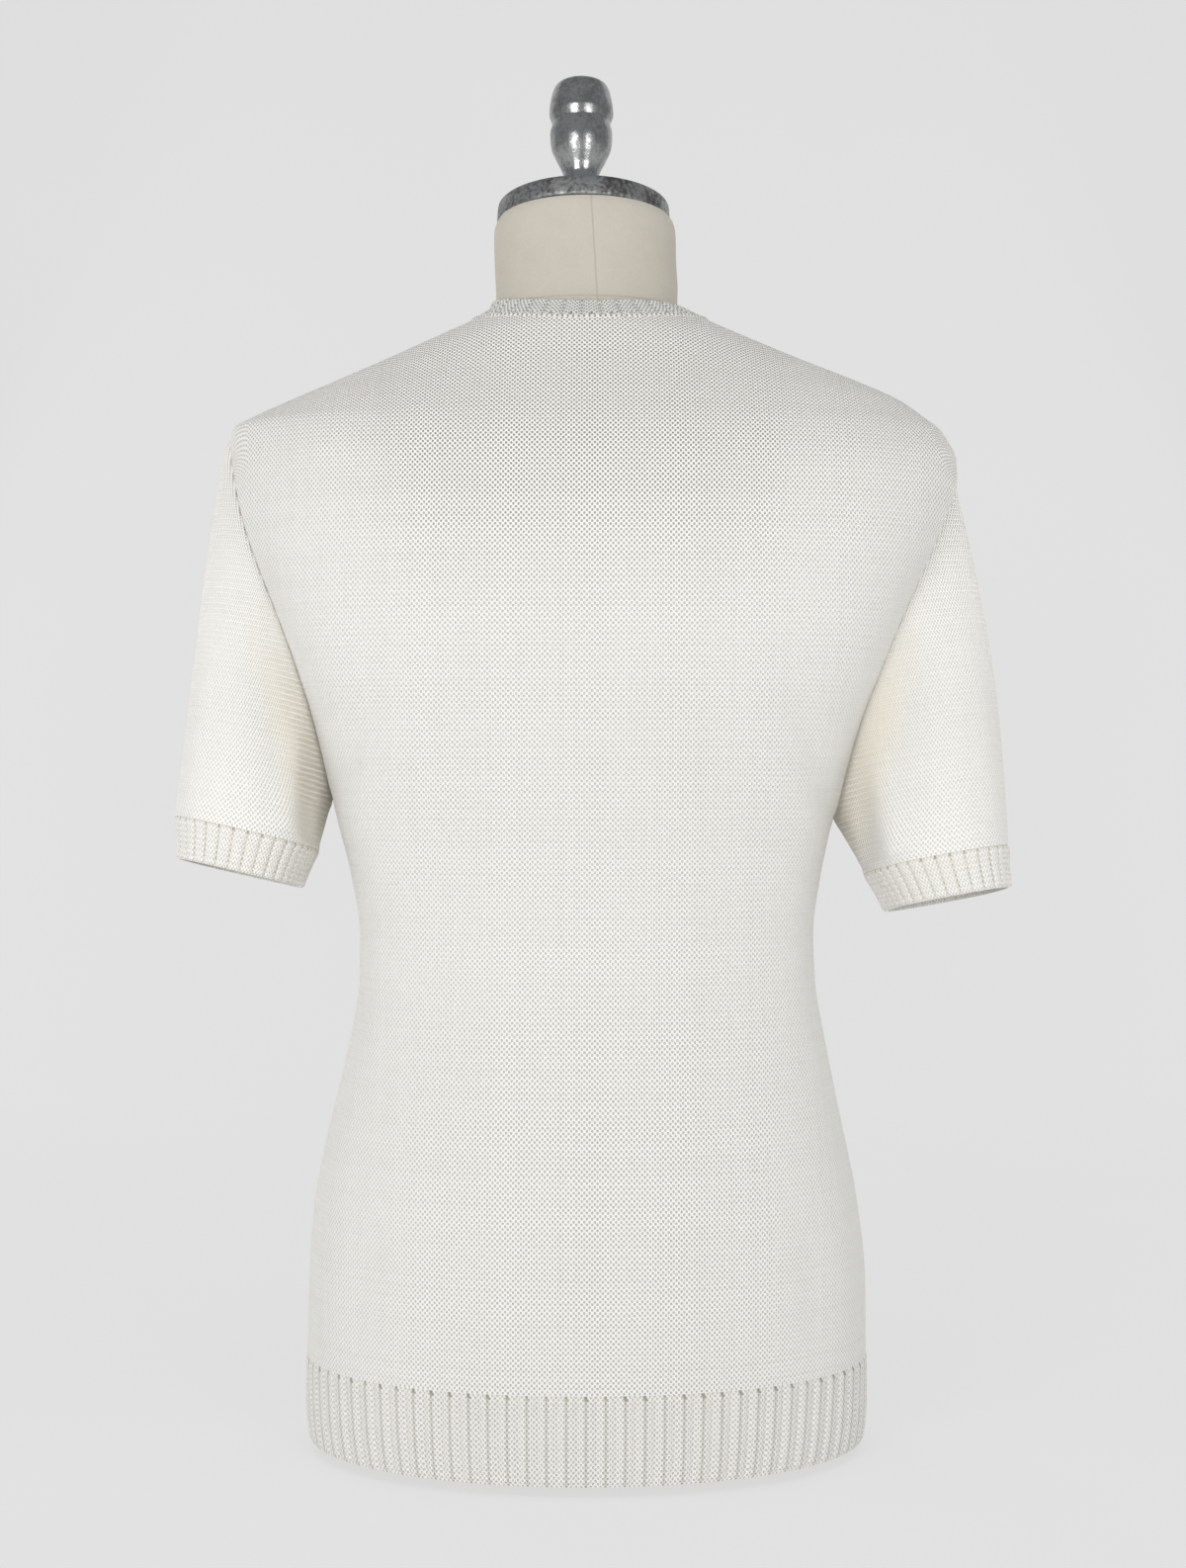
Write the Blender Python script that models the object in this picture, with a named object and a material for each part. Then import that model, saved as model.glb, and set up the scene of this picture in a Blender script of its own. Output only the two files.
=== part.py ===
"""Short-sleeved crew-neck knit top on a limbless dress form.

Metres, +Z up. The wearer's front faces -Y, the wearer's left is +X, and the origin is the centre of the
form's flat underside. Every cloth piece is a closed thin wall with a seam gap to its neighbours.
"""

import math

import bmesh
import bpy
import numpy as np
from mathutils import Matrix

# Cloth
WALL = 0.0022
SEAM_GAP = 0.0003
HALF_GAP = SEAM_GAP / 2
MITRE_LEAST_COSINE = 0.60
HEM_HEIGHT = 0.006
WELT_LINE = 0.0585
TURNS_OVER_ABOVE = 0.50

# Fineness of the shape's own searches and measurements, and the angle from which an edge is drawn sharp
SEARCH_STEPS = 20
CURVE_SAMPLES = 361
NORMAL_STEP = 1e-4
SHARP_FROM = math.radians(50)

# Outer face of the body cloth: one row for each height, half-widths and half-depths from the axis.
# squareness is the exponent of the section's curve: 2 is an ellipse, more is boxier.
BODY_SECTIONS = (
    # height, left, right, back, front, squareness
    (0.0060, 0.1688, 0.1708, 0.1150, 0.1040, 2.02),
    (0.0300, 0.1705, 0.1725, 0.1165, 0.1055, 2.08),
    (0.0585, 0.1702, 0.1723, 0.1180, 0.1060, 2.15),
    (0.1030, 0.1690, 0.1718, 0.1210, 0.1060, 2.22),
    (0.1510, 0.1655, 0.1668, 0.1200, 0.1040, 2.28),
    (0.2000, 0.1558, 0.1570, 0.1100, 0.1010, 2.30),
    (0.2490, 0.1442, 0.1472, 0.0970, 0.0990, 2.30),
    (0.2850, 0.1385, 0.1412, 0.0885, 0.0995, 2.32),
    (0.3150, 0.1382, 0.1400, 0.0865, 0.1015, 2.35),
    (0.3466, 0.1427, 0.1440, 0.0885, 0.1050, 2.40),
    (0.3710, 0.1484, 0.1488, 0.0920, 0.1090, 2.45),
    (0.3890, 0.1533, 0.1538, 0.0955, 0.1120, 2.50),
    (0.4117, 0.1580, 0.1600, 0.1000, 0.1150, 2.60),
    (0.4468, 0.1680, 0.1720, 0.1065, 0.1180, 2.75),
    (0.4696, 0.1762, 0.1815, 0.1100, 0.1190, 2.85),
    (0.5057, 0.1895, 0.1955, 0.1140, 0.1190, 2.95),
    (0.5352, 0.2005, 0.2075, 0.1150, 0.1170, 2.95),
    (0.5660, 0.2095, 0.2190, 0.1135, 0.1125, 2.85),
    (0.5905, 0.2140, 0.2272, 0.1090, 0.1070, 2.70),
    (0.6027, 0.2158, 0.2270, 0.1055, 0.1025, 2.60),
    (0.6149, 0.2170, 0.2220, 0.1005, 0.0970, 2.45),
    (0.6216, 0.2165, 0.2180, 0.0970, 0.0925, 2.35),
    (0.6270, 0.2080, 0.2115, 0.0940, 0.0885, 2.25),
    (0.6392, 0.1830, 0.1955, 0.0868, 0.0815, 2.10),
    (0.6514, 0.1555, 0.1690, 0.0795, 0.0770, 2.00),
    (0.6636, 0.1274, 0.1378, 0.0722, 0.0735, 2.00),
    (0.6758, 0.1000, 0.1079, 0.0657, 0.0705, 2.00),
    (0.6805, 0.0895, 0.0967, 0.0628, 0.0695, 2.00),
    (0.6880, 0.0732, 0.0798, 0.0550, 0.0680, 2.00),
    (0.6940, 0.0625, 0.0672, 0.0495, 0.0672, 2.00),
    (0.6985, 0.0577, 0.0600, 0.0475, 0.0665, 2.00),
    (0.7040, 0.0573, 0.0595, 0.0470, 0.0660, 2.00),
)

# Panels: strips across a panel, and rows up the side seam, the armhole and the shoulder seam
PANEL_COLUMNS = 28
SIDE_ROWS = 8
ARMHOLE_ROWS = 11
SHOULDER_ROWS = 5
UNDERARM_CENTRE = 0.3955
SHOULDER_CENTRE = {"back": 0.6120, "front": 0.5600}

# Neckline seam seen from above, and the crew band that is linked to it
NECK_LEFT = 0.0712
NECK_RIGHT = 0.0772
NECK_BACK = 0.0625
NECK_FRONT = 0.0975
BAND_WIDTH = 0.0190
BAND_RIBS = 42
BAND_LEVELS = (0.0, 0.10, 0.93, 1.0)
BAND_RELIEF = (0.0, 1.0, 0.85, 0.15)

# One row for each armhole: heights of its lowest and highest point, and how far round the section it reaches
ARMHOLES = {
    # side: (underarm, tip, reach, skew)
    "left": (0.3978, 0.6216, 0.445, 1.12),
    "right": (0.3850, 0.5941, 0.430, 1.12),
}
ARMHOLE_ROUNDNESS = 0.55
ARMHOLE_END_SPACING = 0.09
FRONT_SCYE_DEEPER = 1.12

# Cuffs: centre, half-width and half-depth of the rib at its top and at its bottom edge, and the slopes of
# its planes outward and backward
CUFFS = {
    "left": {
        "top": (0.2087, -0.0060, 0.3749, 0.0440, 0.0620),
        "bottom": (0.2134, -0.0075, 0.3503, 0.0380, 0.0595),
        "rise_outward": 0.228,
        "rise_backward": 0.085,
    },
    "right": {
        "top": (-0.2165, -0.0040, 0.3585, 0.0438, 0.0620),
        "bottom": (-0.2242, -0.0055, 0.3342, 0.0380, 0.0595),
        "rise_outward": 0.180,
        "rise_backward": 0.105,
    },
}
CUFF_RIBS = 40
CUFF_LEVELS = (0.0, 0.08, 0.93, 1.0)
CUFF_RELIEF = (0.15, 1.0, 0.8, 0.2)
CUFF_WAIST = 0.0006

# Sleeves: rings from the armhole to the cuff, how far the head swells and where it is fullest
SLEEVE_RINGS = 9
SLEEVE_SWELL = {"left": 0.0044, "right": 0.0068}
SLEEVE_FULLEST = {"left": 0.22, "right": 0.50}
SWELL_MEAN = 0.50
SWELL_SWING = 0.50

# Hem welt
HEM_RIBS_BACK = 41
HEM_RIBS_FRONT = 39
HEM_LEVELS = (0.0, 0.06, 0.95, 1.0)
HEM_RELIEF = (0.2, 0.9, 1.0, 0.3)

# A rib: share of its pitch where the crest starts and ends, and how far crest and groove stand off the cloth
RIB_CREST_START = 0.16
RIB_CREST_END = 0.84
RIB_CREST = 0.0004
RIB_GROOVE = -0.0009

# Dress form, inside the cloth: how far it stays in from the cloth's outer face, sideways and down
FORM_INSET = 0.0052
FORM_LOWER = 0.0045
FORM_BOTTOM_ROUND = 0.0220
FORM_COLUMNS = 38
FORM_TORSO_HEIGHTS = (
    0.0000, 0.0012, 0.0045, 0.0100, 0.0220, 0.0700, 0.1200, 0.1600, 0.2000, 0.2400, 0.2800, 0.3200,
    0.3600, 0.4000, 0.4400, 0.4800, 0.5200, 0.5550, 0.5800, 0.5980, 0.6100, 0.6180, 0.6260, 0.6360,
    0.6480, 0.6600, 0.6710, 0.6800, 0.6880,
)
# Neck of the form above the shoulders
NECK_SECTIONS = (
    # height, left, right, back, front, tilt
    (0.6960, 0.0544, 0.0566, 0.0454, 0.0615, 0.00),
    (0.7100, 0.0549, 0.0571, 0.0461, 0.0613, 0.03),
    (0.7260, 0.0557, 0.0562, 0.0470, 0.0612, 0.08),
    (0.7420, 0.0560, 0.0558, 0.0472, 0.0610, 0.13),
    (0.7472, 0.0551, 0.0550, 0.0467, 0.0600, 0.14),
    (0.7508, 0.0530, 0.0528, 0.0447, 0.0578, 0.14),
)

# Metal neck cap and its turned knob
CAP_CENTRE = (0.0010, -0.0072, 0.7511)
CAP_TILT = math.atan(0.14)
CAP_FRAME = Matrix.Translation(CAP_CENTRE) @ Matrix.Rotation(CAP_TILT, 4, "X")
CAP_PROFILE = (
    # radius, height above the neck
    (0.0524, 0.0000),
    (0.0533, 0.0010),
    (0.0535, 0.0025),
    (0.0529, 0.0108),
    (0.0519, 0.0121),
    (0.0500, 0.0126),
)
CAP_SEGMENTS = 48
KNOB_OFFSET = (0.0014, 0.0, 0.0129)
KNOB_PROFILE = (
    # radius, height above the cap
    (0.0172, 0.0000),
    (0.0172, 0.0026),
    (0.0148, 0.0060),
    (0.0112, 0.0125),
    (0.0106, 0.0200),
    (0.0114, 0.0266),
    (0.0158, 0.0302),
    (0.0166, 0.0340),
    (0.0180, 0.0380),
    (0.0193, 0.0430),
    (0.0194, 0.0470),
    (0.0188, 0.0505),
    (0.0182, 0.0536),
    (0.0190, 0.0562),
    (0.0200, 0.0600),
    (0.0198, 0.0645),
    (0.0189, 0.0706),
    (0.0173, 0.0771),
    (0.0157, 0.0807),
    (0.0128, 0.0836),
    (0.0075, 0.0848),
)
KNOB_SEGMENTS = 22

MATERIALS = {
    # name: (colour, metallic, roughness)
    "cream cotton knit": ((0.80, 0.785, 0.73), 0.0, 0.88),
    "natural canvas": ((0.62, 0.58, 0.49), 0.0, 0.92),
    "worn cast metal": ((0.34, 0.345, 0.34), 0.9, 0.45),
}


# --- Smooth curves and sections -------------------------------------------------------------------


def curve_through(stations, values):
    """A smooth curve through the values that never swings past one of them."""
    stations = np.asarray(stations, float)
    values = np.asarray(values, float)
    steps = np.diff(stations)
    slopes = np.diff(values) / steps
    tangents = np.zeros(len(values))
    tangents[0], tangents[-1] = slopes[0], slopes[-1]
    for i in range(1, len(values) - 1):
        before, after = slopes[i - 1], slopes[i]
        if before * after > 0:
            near = 2 * steps[i] + steps[i - 1]
            far = steps[i] + 2 * steps[i - 1]
            tangents[i] = (near + far) / (near / before + far / after)

    def value(at):
        at = min(max(at, stations[0]), stations[-1])
        i = min(max(int(np.searchsorted(stations, at)) - 1, 0), len(steps) - 1)
        f = (at - stations[i]) / steps[i]
        start = values[i] * (1 + 2 * f) + steps[i] * tangents[i] * f
        end = values[i + 1] * (3 - 2 * f) - steps[i] * tangents[i + 1] * (1 - f)
        return start * (1 - f) ** 2 + end * f**2

    return value


def section_curves(rows, names):
    heights = [row[0] for row in rows]
    return {name: curve_through(heights, [row[i + 1] for row in rows]) for i, name in enumerate(names)}


BODY = section_curves(BODY_SECTIONS, ("left", "right", "back", "front", "squareness"))
NECK = section_curves(NECK_SECTIONS, ("left", "right", "back", "front"))


def section_point(angle, left, right, back, front, squareness):
    """A point of a section: angle 0 is the wearer's left, pi/2 the centre back, -pi/2 the centre front."""
    c, s = math.cos(angle), math.sin(angle)
    radius = (abs(c) ** squareness + abs(s) ** squareness) ** (-1 / squareness)
    return np.array(((left if c >= 0 else right) * c * radius, (back if s >= 0 else front) * s * radius))


def body_sizes(height):
    return [BODY[name](height) for name in ("left", "right", "back", "front", "squareness")]


def body_point(angle, height):
    return np.append(section_point(angle, *body_sizes(height)), height)


def unit(vector):
    return vector / max(np.linalg.norm(vector), 1e-12)


def body_normal(angle, height, step=NORMAL_STEP):
    """The cloth's outward direction at a place of the body."""
    round_it = body_point(angle + step, height) - body_point(angle - step, height)
    upward = body_point(angle, height + step) - body_point(angle, height - step)
    return unit(np.cross(round_it, upward))


def height_over(x, y):
    """The height where the body's face passes over a place seen from above."""
    low, high = TURNS_OVER_ABOVE, BODY_SECTIONS[-1][0]
    for _ in range(SEARCH_STEPS):
        middle = (low + high) / 2
        left, right, back, front, squareness = body_sizes(middle)
        across = abs(x) / (left if x >= 0 else right)
        along = abs(y) / (back if y >= 0 else front)
        inside = across**squareness + along**squareness < 1
        low, high = (middle, high) if inside else (low, middle)
    return (low + high) / 2


def angle_of(x, y, height):
    """The section angle of a place on the body's face."""
    left, right, back, front, _ = body_sizes(height)
    return math.atan2(y / (back if y >= 0 else front), x / (left if x >= 0 else right))


# --- Armholes, neckline and the grids of the panels -------------------------------------------------


def armhole_places(side, face):
    """(angle, height) of an armhole's edge from the underarm up to the tip, on one face."""
    underarm, tip, reach, skew = ARMHOLES[side]
    reach = reach * (FRONT_SCYE_DEEPER if face == "front" else 1.0)
    places = []
    for row in range(ARMHOLE_ROWS + 1):
        share = row / ARMHOLE_ROWS
        share -= ARMHOLE_END_SPACING * math.sin(2 * math.pi * share)
        down = min(max(1 - share, 0.0), 1.0)
        angle = reach * max(math.sin(math.pi * down**skew), 0.0) ** ARMHOLE_ROUNDNESS
        if row in (0, ARMHOLE_ROWS):
            angle = 0.0
        places.append((angle, underarm + (tip - underarm) * share))
    return places


def neck_place(turn, face):
    """(angle, height) of the neckline seam, turn running from the left neck point to the right one."""
    across = NECK_LEFT if math.cos(turn) >= 0 else NECK_RIGHT
    along = NECK_BACK if face == "back" else -NECK_FRONT
    x, y = across * math.cos(turn), along * math.sin(turn)
    height = height_over(x, y)
    return angle_of(x, y, height), height


def panel_places(face):
    """Rows of (angle, height) from the welt line to the neckline, each from the left edge to the right."""
    sign = 1 if face == "back" else -1
    left_low, left_tip = ARMHOLES["left"][:2]
    right_low, right_tip = ARMHOLES["right"][:2]
    left_hole, right_hole = armhole_places("left", face), armhole_places("right", face)
    shares = [k / PANEL_COLUMNS for k in range(PANEL_COLUMNS + 1)]

    def row(left, centre, right, start=0.0, end=0.0):
        places = []
        for share in shares:
            angle = start + (math.pi - end - start) * share
            c, s = math.cos(angle), math.sin(angle)
            height = centre * s * s + (left if c >= 0 else right) * c * c
            places.append((sign * angle, height))
        places[0] = (sign * start, left)
        places[-1] = (sign * (math.pi - end), right)
        return places

    rows = []
    for j in range(SIDE_ROWS):
        up = j / SIDE_ROWS
        ends = [WELT_LINE + (top - WELT_LINE) * up for top in (left_low, UNDERARM_CENTRE, right_low)]
        rows.append(row(*ends))
    for j in range(ARMHOLE_ROWS + 1):
        up = j / ARMHOLE_ROWS
        centre = UNDERARM_CENTRE + (SHOULDER_CENTRE[face] - UNDERARM_CENTRE) * up
        (start, left), (end, right) = left_hole[j], right_hole[j]
        rows.append(row(left, centre, right, start, end))
    tip_row = rows[-1]
    neckline = [neck_place(math.pi * share, face) for share in shares]
    for j in range(1, SHOULDER_ROWS + 1):
        up = j / SHOULDER_ROWS
        rows.append([
            (a + (b - a) * up, low + (high - low) * up)
            for (a, low), (b, high) in zip(tip_row, neckline)
        ])
    return rows


def armhole_loop(side):
    """Edge places round an armhole: from the tip down the back to the underarm and up the front."""
    start, turning = (0.0, 1) if side == "left" else (math.pi, -1)
    back = [(start + turning * angle, height) for angle, height in armhole_places(side, "back")]
    front = [(-start - turning * angle, height) for angle, height in armhole_places(side, "front")]
    return back[:0:-1] + front[:-1]


# --- Sleeves ----------------------------------------------------------------------------------------


def cuff_point(side, level, turn, stand_off=0.0):
    """A place on the cuff's rib: level 0 is its top line and 1 its bottom edge, turn 0 the outer side."""
    cuff = CUFFS[side]
    top, bottom = np.array(cuff["top"]), np.array(cuff["bottom"])
    x, y, z, half_width, half_depth = top + (bottom - top) * level
    outward = 1 if side == "left" else -1
    across = unit(np.array((outward, 0.0, cuff["rise_outward"])))
    back = unit(np.array((0.0, 1.0, cuff["rise_backward"])))
    waist = CUFF_WAIST * math.sin(math.pi * level)
    width = half_width + stand_off - waist
    depth = half_depth + stand_off - waist
    return np.array((x, y, z)) + across * width * math.cos(turn) + back * depth * math.sin(turn)


def cuff_plane_normal(side):
    """Direction from the cuff up the sleeve, square to the cuff's planes."""
    outward = 1 if side == "left" else -1
    across = np.array((outward, 0.0, CUFFS[side]["rise_outward"]))
    back = np.array((0.0, 1.0, CUFFS[side]["rise_backward"]))
    return unit(np.cross(across, back) * outward)


def sleeve_turn(i):
    return math.pi * i / ARMHOLE_ROWS


def sleeve_outside(side):
    """Rings of the sleeve's outer face from the armhole seam to the cuff's top line."""
    edge = [body_point(angle, height) for angle, height in armhole_loop(side)]
    fullest = SLEEVE_FULLEST[side]
    bend = math.log(0.5) / math.log(fullest)
    rings = []
    for ring in range(SLEEVE_RINGS + 1):
        along = ring / SLEEVE_RINGS
        swell = SLEEVE_SWELL[side] * math.sin(math.pi * along**bend)
        points = []
        for i, start in enumerate(edge):
            turn = sleeve_turn(i)
            end = cuff_point(side, 0.0, turn)
            outward = unit(end - cuff_point(side, 0.0, turn, -WALL))
            fullness = swell * (SWELL_MEAN + SWELL_SWING * math.cos(turn))
            points.append(start + (end - start) * along + outward * fullness)
        rings.append(points)
    return np.array(rings)


def loop_normals(rings, side):
    """Outward directions of a tube's rings."""
    round_it = np.roll(rings, -1, axis=1) - np.roll(rings, 1, axis=1)
    down = np.gradient(rings, axis=0)
    normals = np.cross(down, round_it)
    normals /= np.linalg.norm(normals, axis=2, keepdims=True)
    return normals if side == "left" else -normals


def armhole_joint(side):
    """For each place round an armhole: its outer point, the step to its inner point and the way apart."""
    places = armhole_loop(side)
    rings = sleeve_outside(side)
    edge = rings[0]
    along = np.roll(edge, -1, axis=0) - np.roll(edge, 1, axis=0)
    turning = 1 if side == "left" else -1
    sleeve_normals = loop_normals(rings, side)[0]
    joints = []
    for i, (angle, height) in enumerate(places):
        body, sleeve, seam = body_normal(angle, height), sleeve_normals[i], unit(along[i])
        middle = unit(body + sleeve)
        cosine = max(float(middle @ body), MITRE_LEAST_COSINE)
        to_body = unit(np.cross(body, seam)) * turning
        to_sleeve = unit(np.cross(seam, sleeve)) * turning
        joints.append((edge[i], -middle * WALL / cosine, unit(to_sleeve - to_body)))
    return joints


# --- Closed walls -----------------------------------------------------------------------------------


def grid_faces(rows, columns, start, wrap, reverse=False):
    """Quads of a grid of points whose first point has the index start."""
    faces = []
    for j in range(rows - 1):
        for k in range(columns if wrap else columns - 1):
            after = (k + 1) % columns
            a, b = start + j * columns + k, start + j * columns + after
            quad = (a, b, b + columns, a + columns)
            faces.append(quad[::-1] if reverse else quad)
    return faces


def edge_faces(outer, inner, per, wrap):
    """Faces between an outer edge and an inner one, with so many outer steps for each inner step."""
    faces = []
    inner_steps = len(inner) if wrap else len(inner) - 1
    for k in range(inner_steps):
        first, second = inner[k], inner[(k + 1) % len(inner)]
        run = [outer[(k * per + step) % len(outer)] for step in range(per + 1)]
        half = (per + 1) // 2
        faces += [(first, run[step], run[step + 1]) for step in range(half)]
        faces.append((first, run[half], second))
        faces += [(second, run[step], run[step + 1]) for step in range(half, per)]
    return faces


def wall_object(name, outside, inside, wrap, material):
    """A closed wall between an outer and an inner grid with matching rows and columns in a ratio."""
    rows, outer_columns = outside.shape[:2]
    inner_rows, inner_columns = inside.shape[:2]
    steps = (outer_columns, inner_columns) if wrap else (outer_columns - 1, inner_columns - 1)
    per = steps[0] // steps[1]
    split = rows * outer_columns
    faces = grid_faces(rows, outer_columns, 0, wrap)
    faces += grid_faces(inner_rows, inner_columns, split, wrap, reverse=True)

    def edge(first_outer, first_inner):
        outer = [first_outer + k for k in range(outer_columns)]
        inner = [first_inner + k for k in range(inner_columns)]
        return edge_faces(outer, inner, per, wrap)

    faces += edge(0, split)
    faces += edge((rows - 1) * outer_columns, split + (inner_rows - 1) * inner_columns)
    if not wrap:
        for outer_column, inner_column in ((0, 0), (outer_columns - 1, inner_columns - 1)):
            outer = [j * outer_columns + outer_column for j in range(rows)]
            inner = [split + j * inner_columns + inner_column for j in range(inner_rows)]
            faces += edge_faces(outer, inner, (rows - 1) // (inner_rows - 1), False)
    points = np.concatenate([outside.reshape(-1, 3), inside.reshape(-1, 3)])
    return mesh_object(name, points, faces, material)


def mesh_object(name, points, faces, material):
    mesh = bpy.data.meshes.new(name)
    mesh.from_pydata([tuple(point) for point in points], [], faces)
    shape = bmesh.new()
    shape.from_mesh(mesh)
    bmesh.ops.recalc_face_normals(shape, faces=shape.faces)
    shape.to_mesh(mesh)
    shape.free()
    mesh.shade_smooth()
    mesh.set_sharp_from_angle(angle=SHARP_FROM)
    mesh.materials.append(material)
    obj = bpy.data.objects.new(name, mesh)
    bpy.context.scene.collection.objects.link(obj)
    return obj


def rib_shape(relief):
    """(share of the pitch, stand-off) of a rib's outer points: groove, crest start and crest end."""
    return (
        (0.0, RIB_GROOVE * relief),
        (RIB_CREST_START, RIB_CREST * relief),
        (RIB_CREST_END, RIB_CREST * relief),
    )


# --- Cloth pieces -----------------------------------------------------------------------------------


def make_panel(face, joints, material):
    """The back or the front, from the welt line to the shoulder seams and the neckline."""
    sign = 1 if face == "back" else -1
    places = panel_places(face)
    outside = np.array([[body_point(a, h) for a, h in row] for row in places])
    normals = np.array([[body_normal(a, h) for a, h in row] for row in places])
    inside = outside - WALL * normals

    apart = np.array((0.0, sign * HALF_GAP, 0.0))
    for column in (0, -1):
        outside[:, column] += apart
        inside[:, column] += apart
    for side, column in (("left", 0), ("right", -1)):
        for j in range(ARMHOLE_ROWS + 1):
            row = SIDE_ROWS + j
            down = ARMHOLE_ROWS - j
            place = down if face == "back" else (2 * ARMHOLE_ROWS - down) % (2 * ARMHOLE_ROWS)
            point, inward, away = joints[side][place]
            at_end = apart if j in (0, ARMHOLE_ROWS) else 0.0
            outside[row, column] = point - HALF_GAP * away + at_end
            inside[row, column] = point + inward - HALF_GAP * away + at_end

    neckline = outside[-1].copy()
    along = np.gradient(neckline, axis=0)
    upward = np.array([unit(np.cross(n, s)) for n, s in zip(normals[-1], along)]) * sign
    outside[-1] -= HALF_GAP * upward
    inside[-1] -= HALF_GAP * upward

    outside[0, :, 2] = inside[0, :, 2] = WELT_LINE + HALF_GAP
    return wall_object(face, outside, inside, False, material)


def evenly_spaced(angles, height):
    """Section angles with equal lengths of cloth between them, for a share from 0 to 1."""
    points = np.array([body_point(angle, height) for angle in angles])
    lengths = np.concatenate([[0.0], np.cumsum(np.linalg.norm(np.diff(points, axis=0), axis=1))])
    return lambda share: float(np.interp(share * lengths[-1], lengths, angles))


def make_hem(face, ribs, material):
    """One half of the ribbed hem welt, between the side seams."""
    sign = 1 if face == "back" else -1
    angle_at = evenly_spaced(np.linspace(0, sign * math.pi, CURVE_SAMPLES), (HEM_HEIGHT + WELT_LINE) / 2)
    top = WELT_LINE - HALF_GAP
    outside, inside = [], []
    for level, relief in zip(HEM_LEVELS, HEM_RELIEF):
        height = HEM_HEIGHT + (top - HEM_HEIGHT) * level
        outer_row = []
        for rib in range(ribs):
            for share, stand_off in rib_shape(relief):
                angle = angle_at((rib + share) / ribs)
                flat = body_normal(angle, height) * (1, 1, 0)
                outer_row.append(body_point(angle, height) + stand_off * unit(flat))
        end = body_point(sign * math.pi, height)
        groove = rib_shape(relief)[0][1]
        outer_row.append(end + groove * np.array((-1.0, 0.0, 0.0)))
        inner_row = []
        for rib in range(ribs + 1):
            angle = angle_at(rib / ribs)
            flat = unit(body_normal(angle, height) * (1, 1, 0))
            inner_row.append(body_point(angle, height) - WALL * flat)
        outside.append(outer_row)
        inside.append(inner_row)
    outside, inside = np.array(outside), np.array(inside)[[0, -1]]
    for grid in (outside, inside):
        grid[:, (0, -1), 1] = sign * HALF_GAP
    return wall_object("hem_rib_" + face, outside, inside, False, material)


def make_sleeve(side, joints, material):
    outside = sleeve_outside(side)
    inside = outside - WALL * loop_normals(outside, side)
    for i, (point, inward, away) in enumerate(joints):
        outside[0, i] = point + HALF_GAP * away
        inside[0, i] = point + inward + HALF_GAP * away
    up = cuff_plane_normal(side)
    for i in range(outside.shape[1]):
        turn = sleeve_turn(i)
        outside[-1, i] = cuff_point(side, 0.0, turn) + HALF_GAP * up
        inside[-1, i] = cuff_point(side, 0.0, turn, -WALL) + HALF_GAP * up
    return wall_object("sleeve_" + side, outside, inside, True, material)


def make_cuff(side, material):
    """The ribbed cuff, a tube that narrows to the sleeve's mouth."""
    up = cuff_plane_normal(side)
    spread = np.linspace(0, 2 * math.pi, CURVE_SAMPLES)
    points = np.array([cuff_point(side, 0.5, turn) for turn in spread])
    lengths = np.concatenate([[0.0], np.cumsum(np.linalg.norm(np.diff(points, axis=0), axis=1))])
    outside, inside = [], []
    for level, relief in zip(CUFF_LEVELS, CUFF_RELIEF):
        lower = -HALF_GAP * up if level == 0 else 0.0

        def place(share, stand_off):
            turn = float(np.interp(share * lengths[-1], lengths, spread))
            return cuff_point(side, level, turn, stand_off) + lower

        outside.append([
            place((rib + share) / CUFF_RIBS, stand_off)
            for rib in range(CUFF_RIBS)
            for share, stand_off in rib_shape(relief)
        ])
        inside.append([place(rib / CUFF_RIBS, -WALL) for rib in range(CUFF_RIBS)])
    inside = np.array(inside)[[0, -1]]
    return wall_object("cuff_" + side, np.array(outside), inside, True, material)


def neck_loop():
    """Corner points of the neckline seam round the neck: outer point, outward direction and way up."""
    turns = [math.pi * k / PANEL_COLUMNS for k in range(PANEL_COLUMNS)]
    places = [neck_place(turn, "back") for turn in turns]
    places += [neck_place(math.pi - turn, "front") for turn in turns]
    points = np.array([body_point(a, h) for a, h in places])
    normals = np.array([body_normal(a, h) for a, h in places])
    along = np.roll(points, -1, axis=0) - np.roll(points, 1, axis=0)
    ups = np.array([unit(np.cross(n, s)) for n, s in zip(normals, along)])
    return points, normals, ups


def up_the_neck(start, width):
    """The place on the body's face this far up from a neckline place, towards the neck's middle."""
    low, high = 0.0, 1.0
    for _ in range(SEARCH_STEPS):
        shrink = (low + high) / 2
        x, y = start[:2] * (1 - shrink)
        place = np.array((x, y, height_over(x, y)))
        low, high = (shrink, high) if np.linalg.norm(place - start) < width else (low, shrink)
    return place


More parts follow.
